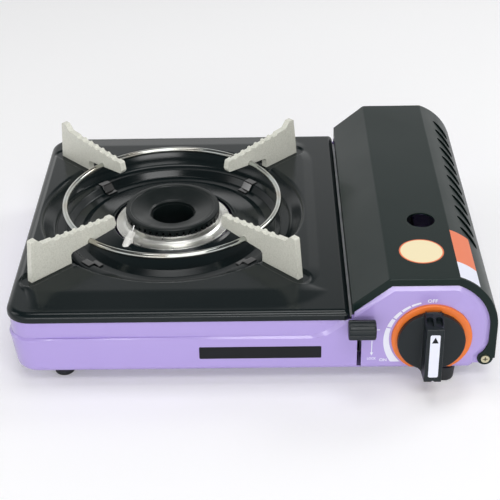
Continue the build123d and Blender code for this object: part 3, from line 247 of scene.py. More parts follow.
def endsOf(edge):
    # both ends of an edge in millimetres, rounded, so that it is found again after other edges change
    return tuple(sorted(tuple(round(c, 3) for c in v.co / mm) for v in edge.verts))


def dress(node, body, material, width=0.3, segments=2, angle=25, shade=30, wide=()):
    # a copy of the node's shape with its sharp edges rounded; wide lists edges that are rounded more,
    # each as a test of an edge's two ends, a width and a count of segments
    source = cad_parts[node]
    bm = bmesh.new()
    bm.from_mesh(source.data)
    bm.transform(source.matrix_world)
    bmesh.ops.remove_doubles(bm, verts=bm.verts, dist=0.004 * mm)
    bmesh.ops.dissolve_limit(bm, angle_limit=math.radians(0.6), verts=bm.verts, edges=bm.edges)
    sharp = [endsOf(e) for e in bm.edges
             if len(e.link_faces) == 2 and e.calc_face_angle(0) > math.radians(angle)]
    for test, wideWidth, wideSegments in wide:
        chosen = {ends for ends in sharp if test(*map(Vector, ends))}
        sharp = [ends for ends in sharp if ends not in chosen]
        bevelEdges(bm, [e for e in bm.edges if endsOf(e) in chosen], wideWidth, wideSegments)
    sharp = set(sharp)
    bevelEdges(bm, [e for e in bm.edges if endsOf(e) in sharp], width, segments)
    mesh = bpy.data.meshes.new(node)
    bm.to_mesh(mesh)
    bm.free()
    shadeByAngle(mesh, shade)
    return newPiece(node + "_dressed", evenNormals(mesh), material, body, [node])


def arcPoints(centre, radius, start, end, count):
    # start and end in degrees
    out = []
    for index in range(count + 1):
        turn = math.radians(start + (end - start) * index / count)
        out.append((centre[0] + radius * math.cos(turn), centre[1] + radius * math.sin(turn)))
    return out


def roundProfile(corners, steps=5):
    # corners are (x, z, radius): a polyline with each inner corner rounded
    out = [corners[0][:2]]
    for before, here, after in zip(corners, corners[1:], corners[2:]):
        radius = here[2]
        point = Vector(here[:2])
        inward = (Vector(before[:2]) - point).normalized()
        outward = (Vector(after[:2]) - point).normalized()
        turn = inward.angle(outward)
        if radius <= 0 or turn > math.pi - 0.01:
            out.append(tuple(point))
            continue
        reach = radius / math.tan(turn / 2)
        middle = point + (inward + outward).normalized() * radius / math.sin(turn / 2)
        first = point + inward * reach - middle
        last = point + outward * reach - middle
        sweep = first.angle_signed(last)
        for index in range(steps + 1):
            part = first.copy()
            part.rotate(Matrix.Rotation(-sweep * index / steps, 2))
            out.append(tuple(middle + part))
    out.append(corners[-1][:2])
    return out


def lathe(name, profile, count=192, centre=burner):
    # profile is a closed loop of (radius, z), turned about an upright axis through centre
    points = []
    faces = []
    rows = len(profile)
    for turn in range(count):
        angle = 2 * math.pi * turn / count
        for radius, height in profile:
            points.append((centre.x + radius * math.cos(angle), centre.y + radius * math.sin(angle), height))
    for turn in range(count):
        following = (turn + 1) % count
        for row in range(rows):
            up = (row + 1) % rows
            faces.append((turn * rows + row, following * rows + row, following * rows + up, turn * rows + up))
    mesh = faceOutwards(meshFrom(name, points, faces), 0.001)
    shadeByAngle(mesh, 40)
    return mesh


def rodProfile(radius, low, high):
    # a full rod for lathe, whose faces stop a hair short of the axis
    return [(0.001, low), (radius, low), (radius, high), (0.001, high)]


def addTo(mesh, other):
    # the other mesh becomes part of the first
    bm = bmesh.new()
    bm.from_mesh(mesh)
    bm.from_mesh(other)
    bm.to_mesh(mesh)
    bm.free()


def cutAway(mesh, cutter, matrix):
    # the mesh less the cutter, which is placed by the matrix
    body = linked("body", mesh)
    knife = linked("knife", cutter)
    knife.matrix_world = matrix
    modifier = body.modifiers.new("cut", "BOOLEAN")
    modifier.operation = "DIFFERENCE"
    modifier.solver = "EXACT"
    modifier.object = knife
    bpy.context.view_layer.update()
    result = evaluatedMesh(body)
    body.modifiers.clear()
    for item in (body, knife):
        bpy.data.objects.remove(item)
    shadeByAngle(result, 40)
    return result


def repeatTree(name, material, onCircle):
    # Geometry Nodes: copies of a mesh on a circle or along a line, realized
    tree = bpy.data.node_groups.new(name, "GeometryNodeTree")
    tree.interface.new_socket("Geometry", in_out="INPUT", socket_type="NodeSocketGeometry")
    tree.interface.new_socket("Geometry", in_out="OUTPUT", socket_type="NodeSocketGeometry")
    sockets = {"Count": tree.interface.new_socket("Count", in_out="INPUT", socket_type="NodeSocketInt"),
               "Start angle": tree.interface.new_socket("Start angle", in_out="INPUT",
                                                        socket_type="NodeSocketFloat"),
               "Step": tree.interface.new_socket("Step", in_out="INPUT", socket_type="NodeSocketVector")}
    nodes, links = tree.nodes, tree.links
    entry = nodes.new("NodeGroupInput")
    leave = nodes.new("NodeGroupOutput")
    line = nodes.new("GeometryNodeMeshLine")
    links.new(entry.outputs["Count"], line.inputs["Count"])
    links.new(entry.outputs["Step"], line.inputs["Offset"])
    copies = nodes.new("GeometryNodeInstanceOnPoints")
    links.new(line.outputs["Mesh"], copies.inputs["Points"])
    links.new(entry.outputs["Geometry"], copies.inputs["Instance"])
    if onCircle:
        index = nodes.new("GeometryNodeInputIndex")
        share = nodes.new("ShaderNodeMath")
        share.operation = "DIVIDE"
        links.new(index.outputs[0], share.inputs[0])
        links.new(entry.outputs["Count"], share.inputs[1])
        angle = nodes.new("ShaderNodeMath")
        angle.operation = "MULTIPLY_ADD"
        angle.inputs[1].default_value = 2 * math.pi
        links.new(share.outputs[0], angle.inputs[0])
        links.new(entry.outputs["Start angle"], angle.inputs[2])
        spin = nodes.new("ShaderNodeCombineXYZ")
        links.new(angle.outputs[0], spin.inputs["Z"])
        links.new(spin.outputs[0], copies.inputs["Rotation"])
    real = nodes.new("GeometryNodeRealizeInstances")
    links.new(copies.outputs[0], real.inputs[0])
    paint = nodes.new("GeometryNodeSetMaterial")
    paint.inputs["Material"].default_value = material
    links.new(real.outputs[0], paint.inputs["Geometry"])
    links.new(paint.outputs[0], leave.inputs[0])
    return tree, sockets


def repeated(name, mesh, material, values, centre=None):
    # values are the tree's inputs by name; copies stand on a circle about the centre, or without one on a line
    tree, sockets = repeatTree(name, material, centre is not None)
    carrier = linked(name + "_carrier", mesh)
    modifier = carrier.modifiers.new("repeat", "NODES")
    modifier.node_group = tree
    for key, value in values.items():
        modifier[sockets[key].identifier] = value
    result = evaluatedMesh(carrier)
    carrier.modifiers.clear()
    bpy.data.objects.remove(carrier)
    if centre is not None:
        result.transform(Matrix.Translation(centre * mm))
    result.name = name
    return result


def boxMesh(name, low, high, bevel):
    bm = bmesh.new()
    bmesh.ops.create_cube(bm, size=1)
    size = Vector(high) - Vector(low)
    middle = (Vector(high) + Vector(low)) / 2
    bm.transform(Matrix.Translation(middle * mm) @ Matrix.Diagonal((*(size * mm), 1)))
    bmesh.ops.bevel(bm, geom=list(bm.edges), offset=bevel * mm, segments=2, affect="EDGES")
    mesh = bpy.data.meshes.new(name)
    bm.to_mesh(mesh)
    bm.free()
    shadeByAngle(mesh, 35)
    return mesh


def frontPlate(name, outline, y, thickness):
    # a thin flat shape on a face that looks to the front; outline is (x, z) in millimetres
    count = len(outline)
    points = [(x, y - thickness, z) for x, z in outline] + [(x, y, z) for x, z in outline]
    faces = [tuple(range(count)), tuple(reversed(range(count, 2 * count)))]
    for index in range(count):
        following = (index + 1) % count
        faces.append((index, index + count, following + count, following))
    mesh = meshFrom(name, points, faces)
    bm = bmesh.new()
    bm.from_mesh(mesh)
    bmesh.ops.recalc_face_normals(bm, faces=bm.faces)
    bmesh.ops.triangulate(bm, faces=[f for f in bm.faces if len(f.verts) > 4])
    bm.to_mesh(mesh)
    bm.free()
    return mesh


def rectangle(xLow, xHigh, zLow, zHigh):
    return [(xLow, zLow), (xHigh, zLow), (xHigh, zHigh), (xLow, zHigh)]


def roundedOutline(xLow, xHigh, zLow, zHigh, radius):
    corners = (((xHigh - radius, zHigh - radius), 0), ((xLow + radius, zHigh - radius), 90),
               ((xLow + radius, zLow + radius), 180), ((xHigh - radius, zLow + radius), 270))
    out = []
    for middle, start in corners:
        out += arcPoints(middle, radius, start, start + 90, 6)
    return out


# top plate
# an enamelled sheet with a raised middle, four pockets on the diagonals for the prongs' feet, and a bowl
plateShape = {"left": -169.8, "right": 68.4, "front": frontY + 0.2, "rear": rearY - 0.2, "leftCorner": 17.8,
              "rightCorner": 3.5, "top": 61.0, "edge": 4.5, "skirt": 54.3, "sheet": 1.0, "reach": (90.0, 260.0)}
raisedShape = {"rise": 1.5, "left": -163.0, "right": 41.8, "front": frontY + 28, "rear": rearY - 19,
               "leftCorner": 18.0, "rightCorner": 30.0, "slope": 8.0,
               "frontSlope": 14.0, "frontFrom": (-86, -97), "rearSlope": 6.0, "rearFrom": (112, 126),
               "leftSlope": 2.6, "leftFrom": (-150, -160)}
pocketShape = {"start": 60.0, "end": 136.0, "half": 8.0, "floor": 60.4, "wall": (-1.5, 0.7)}
bowlShape = {"hole": 85.1, "floorRadius": 91.5, "floor": 51.0, "steepness": 11.5 / 9.5, "floorBend": 2.0,
             "rimBend": 2.6}


def roundedDistance(x, y, shape):
    # how far a point lies outside a rectangle whose left and right corners have their own radius
    left, right, front, rear = (shape[side] for side in ("left", "right", "front", "rear"))
    radius = shape["leftCorner"] if x < (left + right) / 2 else shape["rightCorner"]
    reachX = abs(x - (left + right) / 2) - (right - left) / 2 + radius
    reachY = abs(y - (front + rear) / 2) - (rear - front) / 2 + radius
    outside = math.hypot(max(reachX, 0), max(reachY, 0))
    return outside + min(max(reachX, reachY), 0) - radius


def softStep(low, high, value):
    part = min(1, max(0, (value - low) / (high - low)))
    return part * part * (3 - 2 * part)


def ramp(part, bend=0.1):
    # a straight rise from 0 to 1 with both ends eased
    if part < -bend:
        return 0.0
    if part < bend:
        return (part + bend) ** 2 / (4 * bend)
    if part < 1 - bend:
        return part
    return 1 - max(1 + bend - part, 0) ** 2 / (4 * bend)


def softMin(a, b, width):
    part = max(width - abs(a - b), 0) / width
    return min(a, b) - part * part * width / 4


def plateHeight(x, y):
    s, pocket, bowl = raisedShape, pocketShape, bowlShape
    slope = s["slope"] + s["frontSlope"] * softStep(*s["frontFrom"], y)
    slope += s["rearSlope"] * softStep(*s["rearFrom"], y)
    if x < s["leftFrom"][0]:
        slope += (s["leftSlope"] - slope) * softStep(*s["leftFrom"], x)
    height = plateShape["top"] + s["rise"] * (1 - ramp(roundedDistance(x, y, s) / slope))
    dx, dy = x - burner.x, y - burner.y
    for wayX, wayY in ((1, 1), (-1, 1), (-1, -1), (1, -1)):
        along = (dx * wayX + dy * wayY) / math.sqrt(2)
        if along < pocket["start"]:
            continue
        across = (dx * wayY - dy * wayX) / math.sqrt(2)
        gap = math.hypot(max(0, along - pocket["end"]), across) - pocket["half"]
        height += (pocket["floor"] - height) * (1 - softStep(*pocket["wall"], gap))
    wall = bowl["floor"] + (math.hypot(dx, dy) - bowl["floorRadius"]) * bowl["steepness"]
    return softMin(height, -softMin(-bowl["floor"], -wall, bowl["floorBend"]), bowl["rimBend"])


def edgeReach(wayX, wayY, inset):
    # how far from the burner's axis, in one direction, the plate's outline lies when moved in by inset
    low, high = plateShape["reach"]
    for _ in range(34):  # each turn halves what is left between low and high
        middle = (low + high) / 2
        if roundedDistance(burner.x + wayX * middle, burner.y + wayY * middle, plateShape) < -inset:
            low = middle
        else:
            high = middle
    return (low + high) / 2


def plateMesh():
    # rays from the burner's axis over the bowl, the raised middle, the rolled edge and the skirt;
    # one ray a degree, and four within 7 degrees of a diagonal, where the pockets are
    s = plateShape
    angles = []
    turn = 0.0
    while turn < 360:
        angles.append(turn)
        toDiagonal = min(abs((turn - 45) % 90), 90 - abs((turn - 45) % 90))
        turn += 0.25 if toDiagonal < 7 else 1.0
    # radii over the bowl's wall and rim, where the height changes fast
    radii = [bowlShape["hole"], 87, 89, 90.3] + [91 + 0.4 * i for i in range(6)] + [94, 95.5, 97, 98.2]
    radii += [99 + 0.42 * i for i in range(11)]
    outRows = 78
    edgeTurns = [90 * i / 8 for i in range(9)]
    points = []
    for turn in angles:
        wayX, wayY = math.cos(math.radians(turn)), math.sin(math.radians(turn))
        flatEnd = edgeReach(wayX, wayY, s["edge"])
        flat = radii + [radii[-1] + (flatEnd - radii[-1]) * row / outRows for row in range(1, outRows)]
        for radius in flat:
            x, y = burner.x + wayX * radius, burner.y + wayY * radius
            points.append((x, y, plateHeight(x, y)))
        for tilt in edgeTurns:
            radius = edgeReach(wayX, wayY, s["edge"] * (1 - math.sin(math.radians(tilt))))
            x, y = burner.x + wayX * radius, burner.y + wayY * radius
            drop = s["edge"] * (1 - math.cos(math.radians(tilt)))
            top = plateHeight(x, y) - s["top"]
            points.append((x, y, s["top"] - drop + top * (1 - tilt / 90)))
        outer = edgeReach(wayX, wayY, 0)
        inner = edgeReach(wayX, wayY, s["sheet"])
        # the skirt's lower edge, rounded, and the start of its inside
        for radius, rise in ((outer, 0.5), (outer - 0.15, 0.15), (outer - 0.5, 0), (inner, 0.3), (inner, 3)):
            points.append((burner.x + wayX * radius, burner.y + wayY * radius, s["skirt"] + rise))
    rows = len(points) // len(angles)
    faces = []
    for index in range(len(angles)):
        here, following = index * rows, (index + 1) % len(angles) * rows
        for row in range(rows - 1):
            faces.append((here + row, here + row + 1, following + row + 1, following + row))
    mesh = meshFrom("plate", points, faces)
    shadeByAngle(mesh, 50)
    return mesh


newPiece("plate_enamelled", plateMesh(), enamel, "stove", ["top_plate"])
print("stage: top plate")

# drip pan and its clips
# flange, trough and raised lip round the burner; corners are (radius, z, rounding)
panShape = {"top": [(90.2, 51.1, 0), (90.2, 52.1, 0.4), (83.4, 52.1, 1.4), (79.4, 47.05, 1.6),
                    (72.4, 47.05, 2.0), (66.4, 49.5, 2.0), (49.3, 52.5, 2.4), (47.0, 54.1, 0.5),
                    (46.2, 53.9, 0.3), (46.0, 52.6, 0)],
            "bottom": [(46.6, 52.4), (49.0, 51.4), (66.0, 48.4), (72.0, 46.0), (79.2, 46.0), (83.0, 51.0)]}
panMesh = lathe("pan", roundProfile(panShape["top"]) + panShape["bottom"], 256)
newPiece("pan_pressed", panMesh, enamel, "stove", ["drip_pan"])
dress("pan_clips", "stove", clipSteel, width=0.25)
print("stage: drip pan")

# burner
# the ceramic leans towards the burner: its ends are (radius, z) in the direction of the angle
electrodeShape = {"angle": 226.0, "low": (54.6, 41.0), "high": (41.6, 61.5), "notch": 4.1,
                  "notchEnds": (-6, 30)}
# the mixing tube's boss points away from the burner's axis
tubeShape = {"way": (122.8, -95.8), "start": 28.0, "z": 36.0, "inner": 9.1, "outer": 10.8, "length": 16.0}
drumShape = {"profile": [(18.6, 30.0, 0), (30.0, 30.0, 1), (30.0, 44.0, 2), (35.0, 52.0, 0.4),
                         (44.3, 52.0, 0.45), (44.3, 53.25, 0.45), (38.8, 53.8, 0.7), (36.9, 55.2, 0.7),
                         (36.4, 58.4, 0.3), (36.9, 58.7, 0.3), (36.9, 59.5, 0.25), (33.5, 59.5, 0.3),
                         (33.5, 52.5, 1), (27.5, 45.0, 2), (27.5, 33.0, 1), (18.6, 33.0, 0)]}
capShape = {"profile": [(32.5, 62.8, 0), (36.25, 62.8, 0.3), (36.25, 65.5, 1.1), (32.8, 65.5, 0.6),
                        (32.1, 64.7, 0.4), (30.2, 64.4, 0.8), (22.0, 62.0, 9), (18.4, 60.9, 1.0),
                        (16.9, 59.8, 0.5), (16.9, 57.5, 0), (18.5, 57.5, 0), (18.5, 58.9, 0.4),
                        (22.0, 60.0, 3), (30.0, 62.2, 0)],
            "teeth": 44, "toothLow": (32.6, -1.78, 59.55), "toothHigh": (36.2, 1.78, 63.2), "toothBevel": 0.22}


def upAlong(start, way):
    # a place whose upright axis starts at a point and runs along a direction
    return Matrix.Translation(start * mm) @ way.to_track_quat("Z", "Y").to_matrix().to_4x4()


def notchPlace():
    angle = math.radians(electrodeShape["angle"])
    way = Vector((math.cos(angle), math.sin(angle), 0))
    low, high = (burner + way * radius + Vector((0, 0, height))
                 for radius, height in (electrodeShape["low"], electrodeShape["high"]))
    return upAlong(low, high - low)


def tubeBoss():
    t = tubeShape
    way = Vector((*t["way"], 0)).normalized()
    profile = [(t["inner"], 0, 0), (t["outer"], 0, 0.3), (t["outer"], t["length"], 0.5),
               (t["inner"], t["length"], 0)]
    boss = lathe("boss", roundProfile(profile), 64, origin)
    boss.transform(upAlong(burner + way * t["start"] + Vector((0, 0, t["z"])), way))
    return boss


notch = lathe("notch", rodProfile(electrodeShape["notch"], *electrodeShape["notchEnds"]), 48, origin)
drum = cutAway(lathe("drum", roundProfile(drumShape["profile"])), notch, notchPlace())
addTo(drum, tubeBoss())
newPiece("burner_drum", drum, drumAluminium, "stove", ["burner_body"])

capMesh = lathe("cap", roundProfile(capShape["profile"]))
toothMesh = boxMesh("tooth", capShape["toothLow"], capShape["toothHigh"], capShape["toothBevel"])
teethValues = {"Count": capShape["teeth"], "Start angle": math.pi / capShape["teeth"]}
addTo(capMesh, repeated("cap_teeth", toothMesh, capIron, teethValues, burner))
newPiece("burner_cap_cast", capMesh, capIron, "stove", ["burner_cap"])
dress("electrode_ceramic", "stove", ceramic)
print("stage: burner")

# pan support
ringShape = {"radius": 82.2, "wire": 2.25, "z": 71.4}
ringMesh = lathe("ring", arcPoints((ringShape["radius"], ringShape["z"]), ringShape["wire"], 0, 337.5, 15), 320)
newPiece("ring_polished", ringMesh, ringSteel, "pan_support", ["trivet_ring"])
for corner in cornerNames:
    dress("prong_" + corner, "pan_support", prongEnamel, width=0.28)
print("stage: pan support")

# casing and cover
dress("casing", "stove", lilac, width=0.55, segments=3)

# the cover's outline seen from the front: a slope at the left, a flat top and a round shoulder at the right
coverShape = {"left": 69.7, "right": 170.0, "top": 87.6, "flatLeft": 94.2, "flatRight": 141.8,
              "bulge": (161.2, 73.2), "sideZ": 46.0, "shoulderZ": 67.5, "endBevel": 1.4, "nearFace": 0.02,
              "nearOutline": 0.3}


def circleThrough(a, b, c):
    # centre and radius of the circle through three flat points
    span = 2 * (a.x * (b.y - c.y) + b.x * (c.y - a.y) + c.x * (a.y - b.y))
    lengths = (a.length_squared, b.length_squared, c.length_squared)
    x = sum(part * way for part, way in zip(lengths, (b.y - c.y, c.y - a.y, a.y - b.y))) / span
    y = sum(part * way for part, way in zip(lengths, (c.x - b.x, a.x - c.x, b.x - a.x))) / span
    middle = Vector((x, y))
    return middle, (a - middle).length


coverArc = circleThrough(Vector((coverShape["flatRight"], coverShape["top"])), Vector(coverShape["bulge"]),
                         Vector((coverShape["right"], coverShape["sideZ"])))


def outerReach(point):
    # how far a point lies outside the cover's outline, below zero inside
    s = coverShape
    middle, radius = coverArc
    if point.x > s["flatRight"] and point.z > s["sideZ"]:
        return math.hypot(point.x - middle.x, point.z - middle.y) - radius
    slope = (s["top"] - s["shoulderZ"]) / (s["flatLeft"] - s["left"])
    lean = (point.z - s["shoulderZ"] - (point.x - s["left"]) * slope) / math.hypot(1, slope)
    return max(point.x - s["right"], point.z - s["top"], s["left"] - point.x, lean)


def coverEnd(a, b):
    # the outer edges of the cover's two end walls
    front = max(a.y, b.y) < frontY + coverShape["nearFace"]
    rear = min(a.y, b.y) > rearY - coverShape["nearFace"]
    return (front or rear) and min(outerReach(a), outerReach(b)) > -coverShape["nearOutline"]


dress("cartridge_cover", "cover", coverPaint, wide=((coverEnd, coverShape["endBevel"], 5),))

louvreShape = {"count": 12, "first": 68.6, "pitch": 15.5, "length": 20.0, "slant": -40.0, "x": 156.3, "z": 76.7,
               "back": 3.0, "lip": -0.2, "rise": 1.3, "sheet": 0.4, "sunk": 0.05, "pivot": 0.75,
               "endWidth": 0.35}


def louvreHood():
    # a raised lip over one air slot, wrapped on the cover's round shoulder
    s = louvreShape
    middle, radius = coverArc
    start = math.atan2(s["z"] - middle.y, s["x"] - middle.x)
    slant = math.radians(s["slant"])
    section = []
    for part in (0, 0.15, 0.35, 0.6, 0.85, 1):
        section.append((s["back"] + (s["lip"] - s["back"]) * part, s["rise"] * math.sin(part * math.pi / 2)))
    section += [(across, max(rise - s["sheet"], -0.2)) for across, rise in reversed(section)]
    points = []
    faces = []
    steps = 18
    for step in range(steps + 1):
        along = math.sin((step / steps - 0.5) * math.pi) * s["length"] / 2
        swell = math.sqrt(max(0.0, 1 - (2 * along / s["length"]) ** 2))
        for across, rise in section:
            wide = s["pivot"] + (across - s["pivot"]) * (s["endWidth"] + (1 - s["endWidth"]) * swell)
            girth = along * math.cos(slant) - wide * math.sin(slant)
            depth = along * math.sin(slant) + wide * math.cos(slant)
            angle = start - girth / radius
            reach = radius + rise * swell - s["sunk"]
            points.append((middle.x + reach * math.cos(angle), frontY + s["first"] + depth,
                           middle.y + reach * math.sin(angle)))
    row = len(section)
    for step in range(steps):
        for index in range(row):
            following = (index + 1) % row
            faces.append((step * row + index, (step + 1) * row + index, (step + 1) * row + following,
                          step * row + following))
    faces.append(tuple(range(row)))
    faces.append(tuple(reversed(range(steps * row, (steps + 1) * row))))
    mesh = faceOutwards(meshFrom("hood", points, faces))
    shadeByAngle(mesh, 50)
    return mesh


louvreValues = {"Count": louvreShape["count"], "Step": (0, louvreShape["pitch"] * mm, 0)}
louvreMesh = repeated("louvres", louvreHood(), coverPaint, louvreValues)
newPiece("cover_louvres", louvreMesh, coverPaint, "cover")

# blank labels: a round one with a thin edge on the flat top, and a strip in two colours on the round shoulder
# edge and face are a radius, and a low and a high level from the cover's flat top; turns are in degrees
labelShape = {"x": 119.0, "y": -87.9, "edge": (15.5, -0.15, 0.05), "face": (14.5, -0.1, 0.1),
              "lift": 0.06, "sunk": 0.3, "turns": (69.6, 48.0), "rearPart": (-60.0, -101.5),
              "frontPart": (-101.5, -120.9)}


def wrapped(name, depths):
    # a label bent over the cover's shoulder, between two depths
    middle, radius = coverArc
    first, last = labelShape["turns"]
    steps = 10
    points = []
    for reach in (radius + labelShape["lift"], radius - labelShape["sunk"]):
        for y in depths:
            for step in range(steps + 1):
                turn = math.radians(first + (last - first) * step / steps)
                points.append((middle.x + reach * math.cos(turn), y, middle.y + reach * math.sin(turn)))
    row = steps + 1
    faces = []
    for layer in (0, 2 * row):
        for i in range(steps):
            faces.append((layer + i, layer + i + 1, layer + row + i + 1, layer + row + i))
    rim = list(range(row)) + list(range(2 * row - 1, row - 1, -1))
    for here, following in zip(rim, rim[1:] + rim[:1]):
        faces.append((here, following, following + 2 * row, here + 2 * row))
    mesh = faceOutwards(meshFrom(name, points, faces))
    shadeByAngle(mesh, 40)
    return mesh


def disc(name, radius, low, high):
    profile = rodProfile(radius, coverShape["top"] + low, coverShape["top"] + high)
    return lathe(name, profile, 96, Vector((labelShape["x"], labelShape["y"], 0)))


newPiece("label_edge", disc("label_edge", *labelShape["edge"]), orangeLabel, "cover")
newPiece("label_round", disc("label_round", *labelShape["face"]), creamLabel, "cover")
newPiece("label_strip", wrapped("label_strip", labelShape["rearPart"]), orangeLabel, "cover")
newPiece("label_strip_end", wrapped("label_strip_end", labelShape["frontPart"]), whitePrint, "cover")

# the cross recess of each hinge screw gets painted shade, a thin black sheet inside it; the rear one faces away
# and stays as it is
crossShadeShape = {"x": 163.0, "z": 21.0, "half": 1.7, "bar": 0.35, "depth": 0.7, "thickness": 0.05}
dress("hinge_screws", "stove", screwNickel, width=0.12)
crossShadeMesh = bpy.data.meshes.new("cross")
for halfX, halfZ in ((crossShadeShape["half"], crossShadeShape["bar"]), (crossShadeShape["bar"], crossShadeShape["half"])):
    bar = rectangle(crossShadeShape["x"] - halfX, crossShadeShape["x"] + halfX,
                    crossShadeShape["z"] - halfZ, crossShadeShape["z"] + halfZ)
    addTo(crossShadeMesh, frontPlate("bar", bar, frontY - crossShadeShape["depth"], crossShadeShape["thickness"]))
# the black print material here is painted shade in the screw's cross, not a print
newPiece("screw_cross_shade", crossShadeMesh, blackPrint, "stove")
for corner in cornerNames:
    dress("foot_" + corner, "stove", footPlastic)
print("stage: casing and cover")

# knob and lever
knobPiece = dress("knob", "knob", blackPlastic, width=0.5, segments=3)
barShape = {"x": 124.2, "z": 39.3, "front": frontY - 22.0, "back": frontY - 3.0, "halfWidth": 7.0,
            "halfHeight": 18.0, "sunk": 0.12, "grow": 0.11}
for vertex in knobPiece.data.vertices:
    # the grip is a little longer at its root than at its front, and its face lies back for the label
    if abs(vertex.co.y / mm - barShape["front"]) < 0.05:
        vertex.co.y += barShape["sunk"] * mm
    high = vertex.co.z / mm - barShape["z"]
    near = abs(vertex.co.x / mm - barShape["x"]) < barShape["halfWidth"] and vertex.co.y / mm < barShape["back"]
    if abs(high) > barShape["halfHeight"] and near:
        share = (vertex.co.y / mm - barShape["front"]) / (barShape["back"] - barShape["front"])
        vertex.co.z = (barShape["z"] + high * (1 + barShape["grow"] * min(1, share))) * mm
dress("knob_bezel", "stove", orangePlastic)
dress("lever_grip", "lever", blackPlastic, width=0.25)
dress("lever_arm", "lever", zinc, width=0.25)
print("stage: knob and lever")

# dial marks, generic words and plain label places; a place is (xLow, xHigh, zLow, zHigh) and its rounding
dialShape = {"x": 124.8, "z": 39.4, "inner": 29.4, "start": 106.5, "end": 224.6, "thin": 1.3, "thick": 5.2,
             "thickAt": 218.0, "growth": 1.15, "cuts": (120.0, 134.4, 148.8, 163.7), "gap": 1.8, "floor": 19.0}
printShape = {"depth": 0.06, "fontWeight": 0.018,
              "words": {"OFF": (120.6, 127.4, 68.4, 71.2), "ON": (89.4, 94.5, 19.3, 21.8),
                        "LOCK": (80.9, 87.0, 20.9, 22.8)},
              "tick": (87, 89.1, 45.9, 46.6),
              "arrow": [(83.55, 37.2), (83.55, 27.0), (82.7, 27.0), (83.85, 24.4), (85.0, 27.0),
                        (84.15, 27.0), (84.15, 37.2)],
              "strip": (-36, 49, 23, 33, 0.8), "knobLabel": (120.8, 127.5, 21.6, 57.0, 1.2),
              "pointer": [(124.2, 55.2), (122.0, 50.4), (126.4, 50.4)], "pointerDepth": 0.05}


def onFront(name, outline):
    return frontPlate(name, outline, frontY, printShape["depth"])


def dialPoint(angle, radius):
    turn = math.radians(angle)
    return (dialShape["x"] + radius * math.cos(turn),
            max(dialShape["z"] + radius * math.sin(turn), dialShape["floor"]))


def dialOuter(angle):
    s = dialShape
    part = (angle - s["start"]) / (s["thickAt"] - s["start"])
    return s["inner"] + s["thin"] + (s["thick"] - s["thin"]) * part ** s["growth"]


def dialMarks():
    # the curved gas scale: five pieces that widen towards the bottom
    s = dialShape
    marks = bpy.data.meshes.new("marks")
    starts = (s["start"],) + tuple(cut + s["gap"] / 2 for cut in s["cuts"])
    ends = tuple(cut - s["gap"] / 2 for cut in s["cuts"]) + (s["end"],)
    for start, end in zip(starts, ends):
        steps = max(3, int((end - start) / 2.5))
        angles = [start + (end - start) * i / steps for i in range(steps + 1)]
        outline = [dialPoint(angle, dialOuter(angle)) for angle in angles]
        outline += [dialPoint(angle, s["inner"]) for angle in reversed(angles)]
        addTo(marks, onFront("mark", outline))
    return marks


def word(text, xLow, xHigh, zLow, zHigh):
    # a plain word, stretched into its place on the front
    curve = bpy.data.curves.new("word", "FONT")
    curve.body = text
    curve.extrude = 0.5
    curve.offset = printShape["fontWeight"]
    curve.resolution_u = 3
    holder = linked("word", curve)
    bpy.context.view_layer.update()
    mesh = evaluatedMesh(holder)
    bpy.data.objects.remove(holder)
    xs = [v.co.x for v in mesh.vertices]
    ys = [v.co.y for v in mesh.vertices]
    wide = (xHigh - xLow) / (max(xs) - min(xs))
    tall = (zHigh - zLow) / (max(ys) - min(ys))
    for v in mesh.vertices:
        depth = printShape["depth"] if v.co.z > 0 else 0
        v.co = Vector((xLow + (v.co.x - min(xs)) * wide, frontY - depth, zLow + (v.co.y - min(ys)) * tall)) * mm
    return faceOutwards(mesh, 0.002)


frontMarks = dialMarks()
for text, place in printShape["words"].items():
    addTo(frontMarks, word(text, *place))
addTo(frontMarks, onFront("tick", rectangle(*printShape["tick"])))
addTo(frontMarks, onFront("arrow", printShape["arrow"]))
newPiece("front_marks", frontMarks, whitePrint, "stove")
newPiece("front_strip", onFront("strip", roundedOutline(*printShape["strip"])), blackPrint, "stove")

labelY = barShape["front"] + barShape["sunk"]
labelMesh = frontPlate("label", roundedOutline(*printShape["knobLabel"]), labelY, printShape["depth"])
newPiece("knob_label", labelMesh, whitePrint, "knob")
pointerMesh = frontPlate("pointer", printShape["pointer"], labelY - printShape["depth"],
                         printShape["pointerDepth"])
newPiece("knob_pointer", pointerMesh, blackPrint, "knob")
print("stage: marks")

# inner parts keep their shape and get a material
plain = {"foot_screws": zinc, "base_screws": zinc, "plate_posts": zinc, "burner_bracket": zinc,
         "mixing_tube": zinc, "gas_pipe": zinc, "bay_wall": zinc, "connection_plate": zinc,
         "governor_bracket": zinc, "electrode_bracket": zinc, "lever_bracket": zinc, "carriage_guides": zinc,
         "hinge_nuts": zinc, "cartridge_carriage": zinc, "gas_jet": brass, "valve_spindle": brass,
         # the air tube is black like the cap; its black also paints the shade inside the burner's hole
         "air_tube": capIron, "governor_body": castAluminium, "governor_cap": castAluminium,
         "inlet_seal": sealRubber, "piezo_igniter": blackPlastic, "ignition_lead": leadRubber,
         "electrode_wire": springSteel, "lever_pin": springSteel, "crank_pin": springSteel,
         "carriage_spring": springSteel}
for node, material in plain.items():
    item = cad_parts[node]
    item.data.materials.clear()
    item.data.materials.append(material)
print("stage: inner parts")

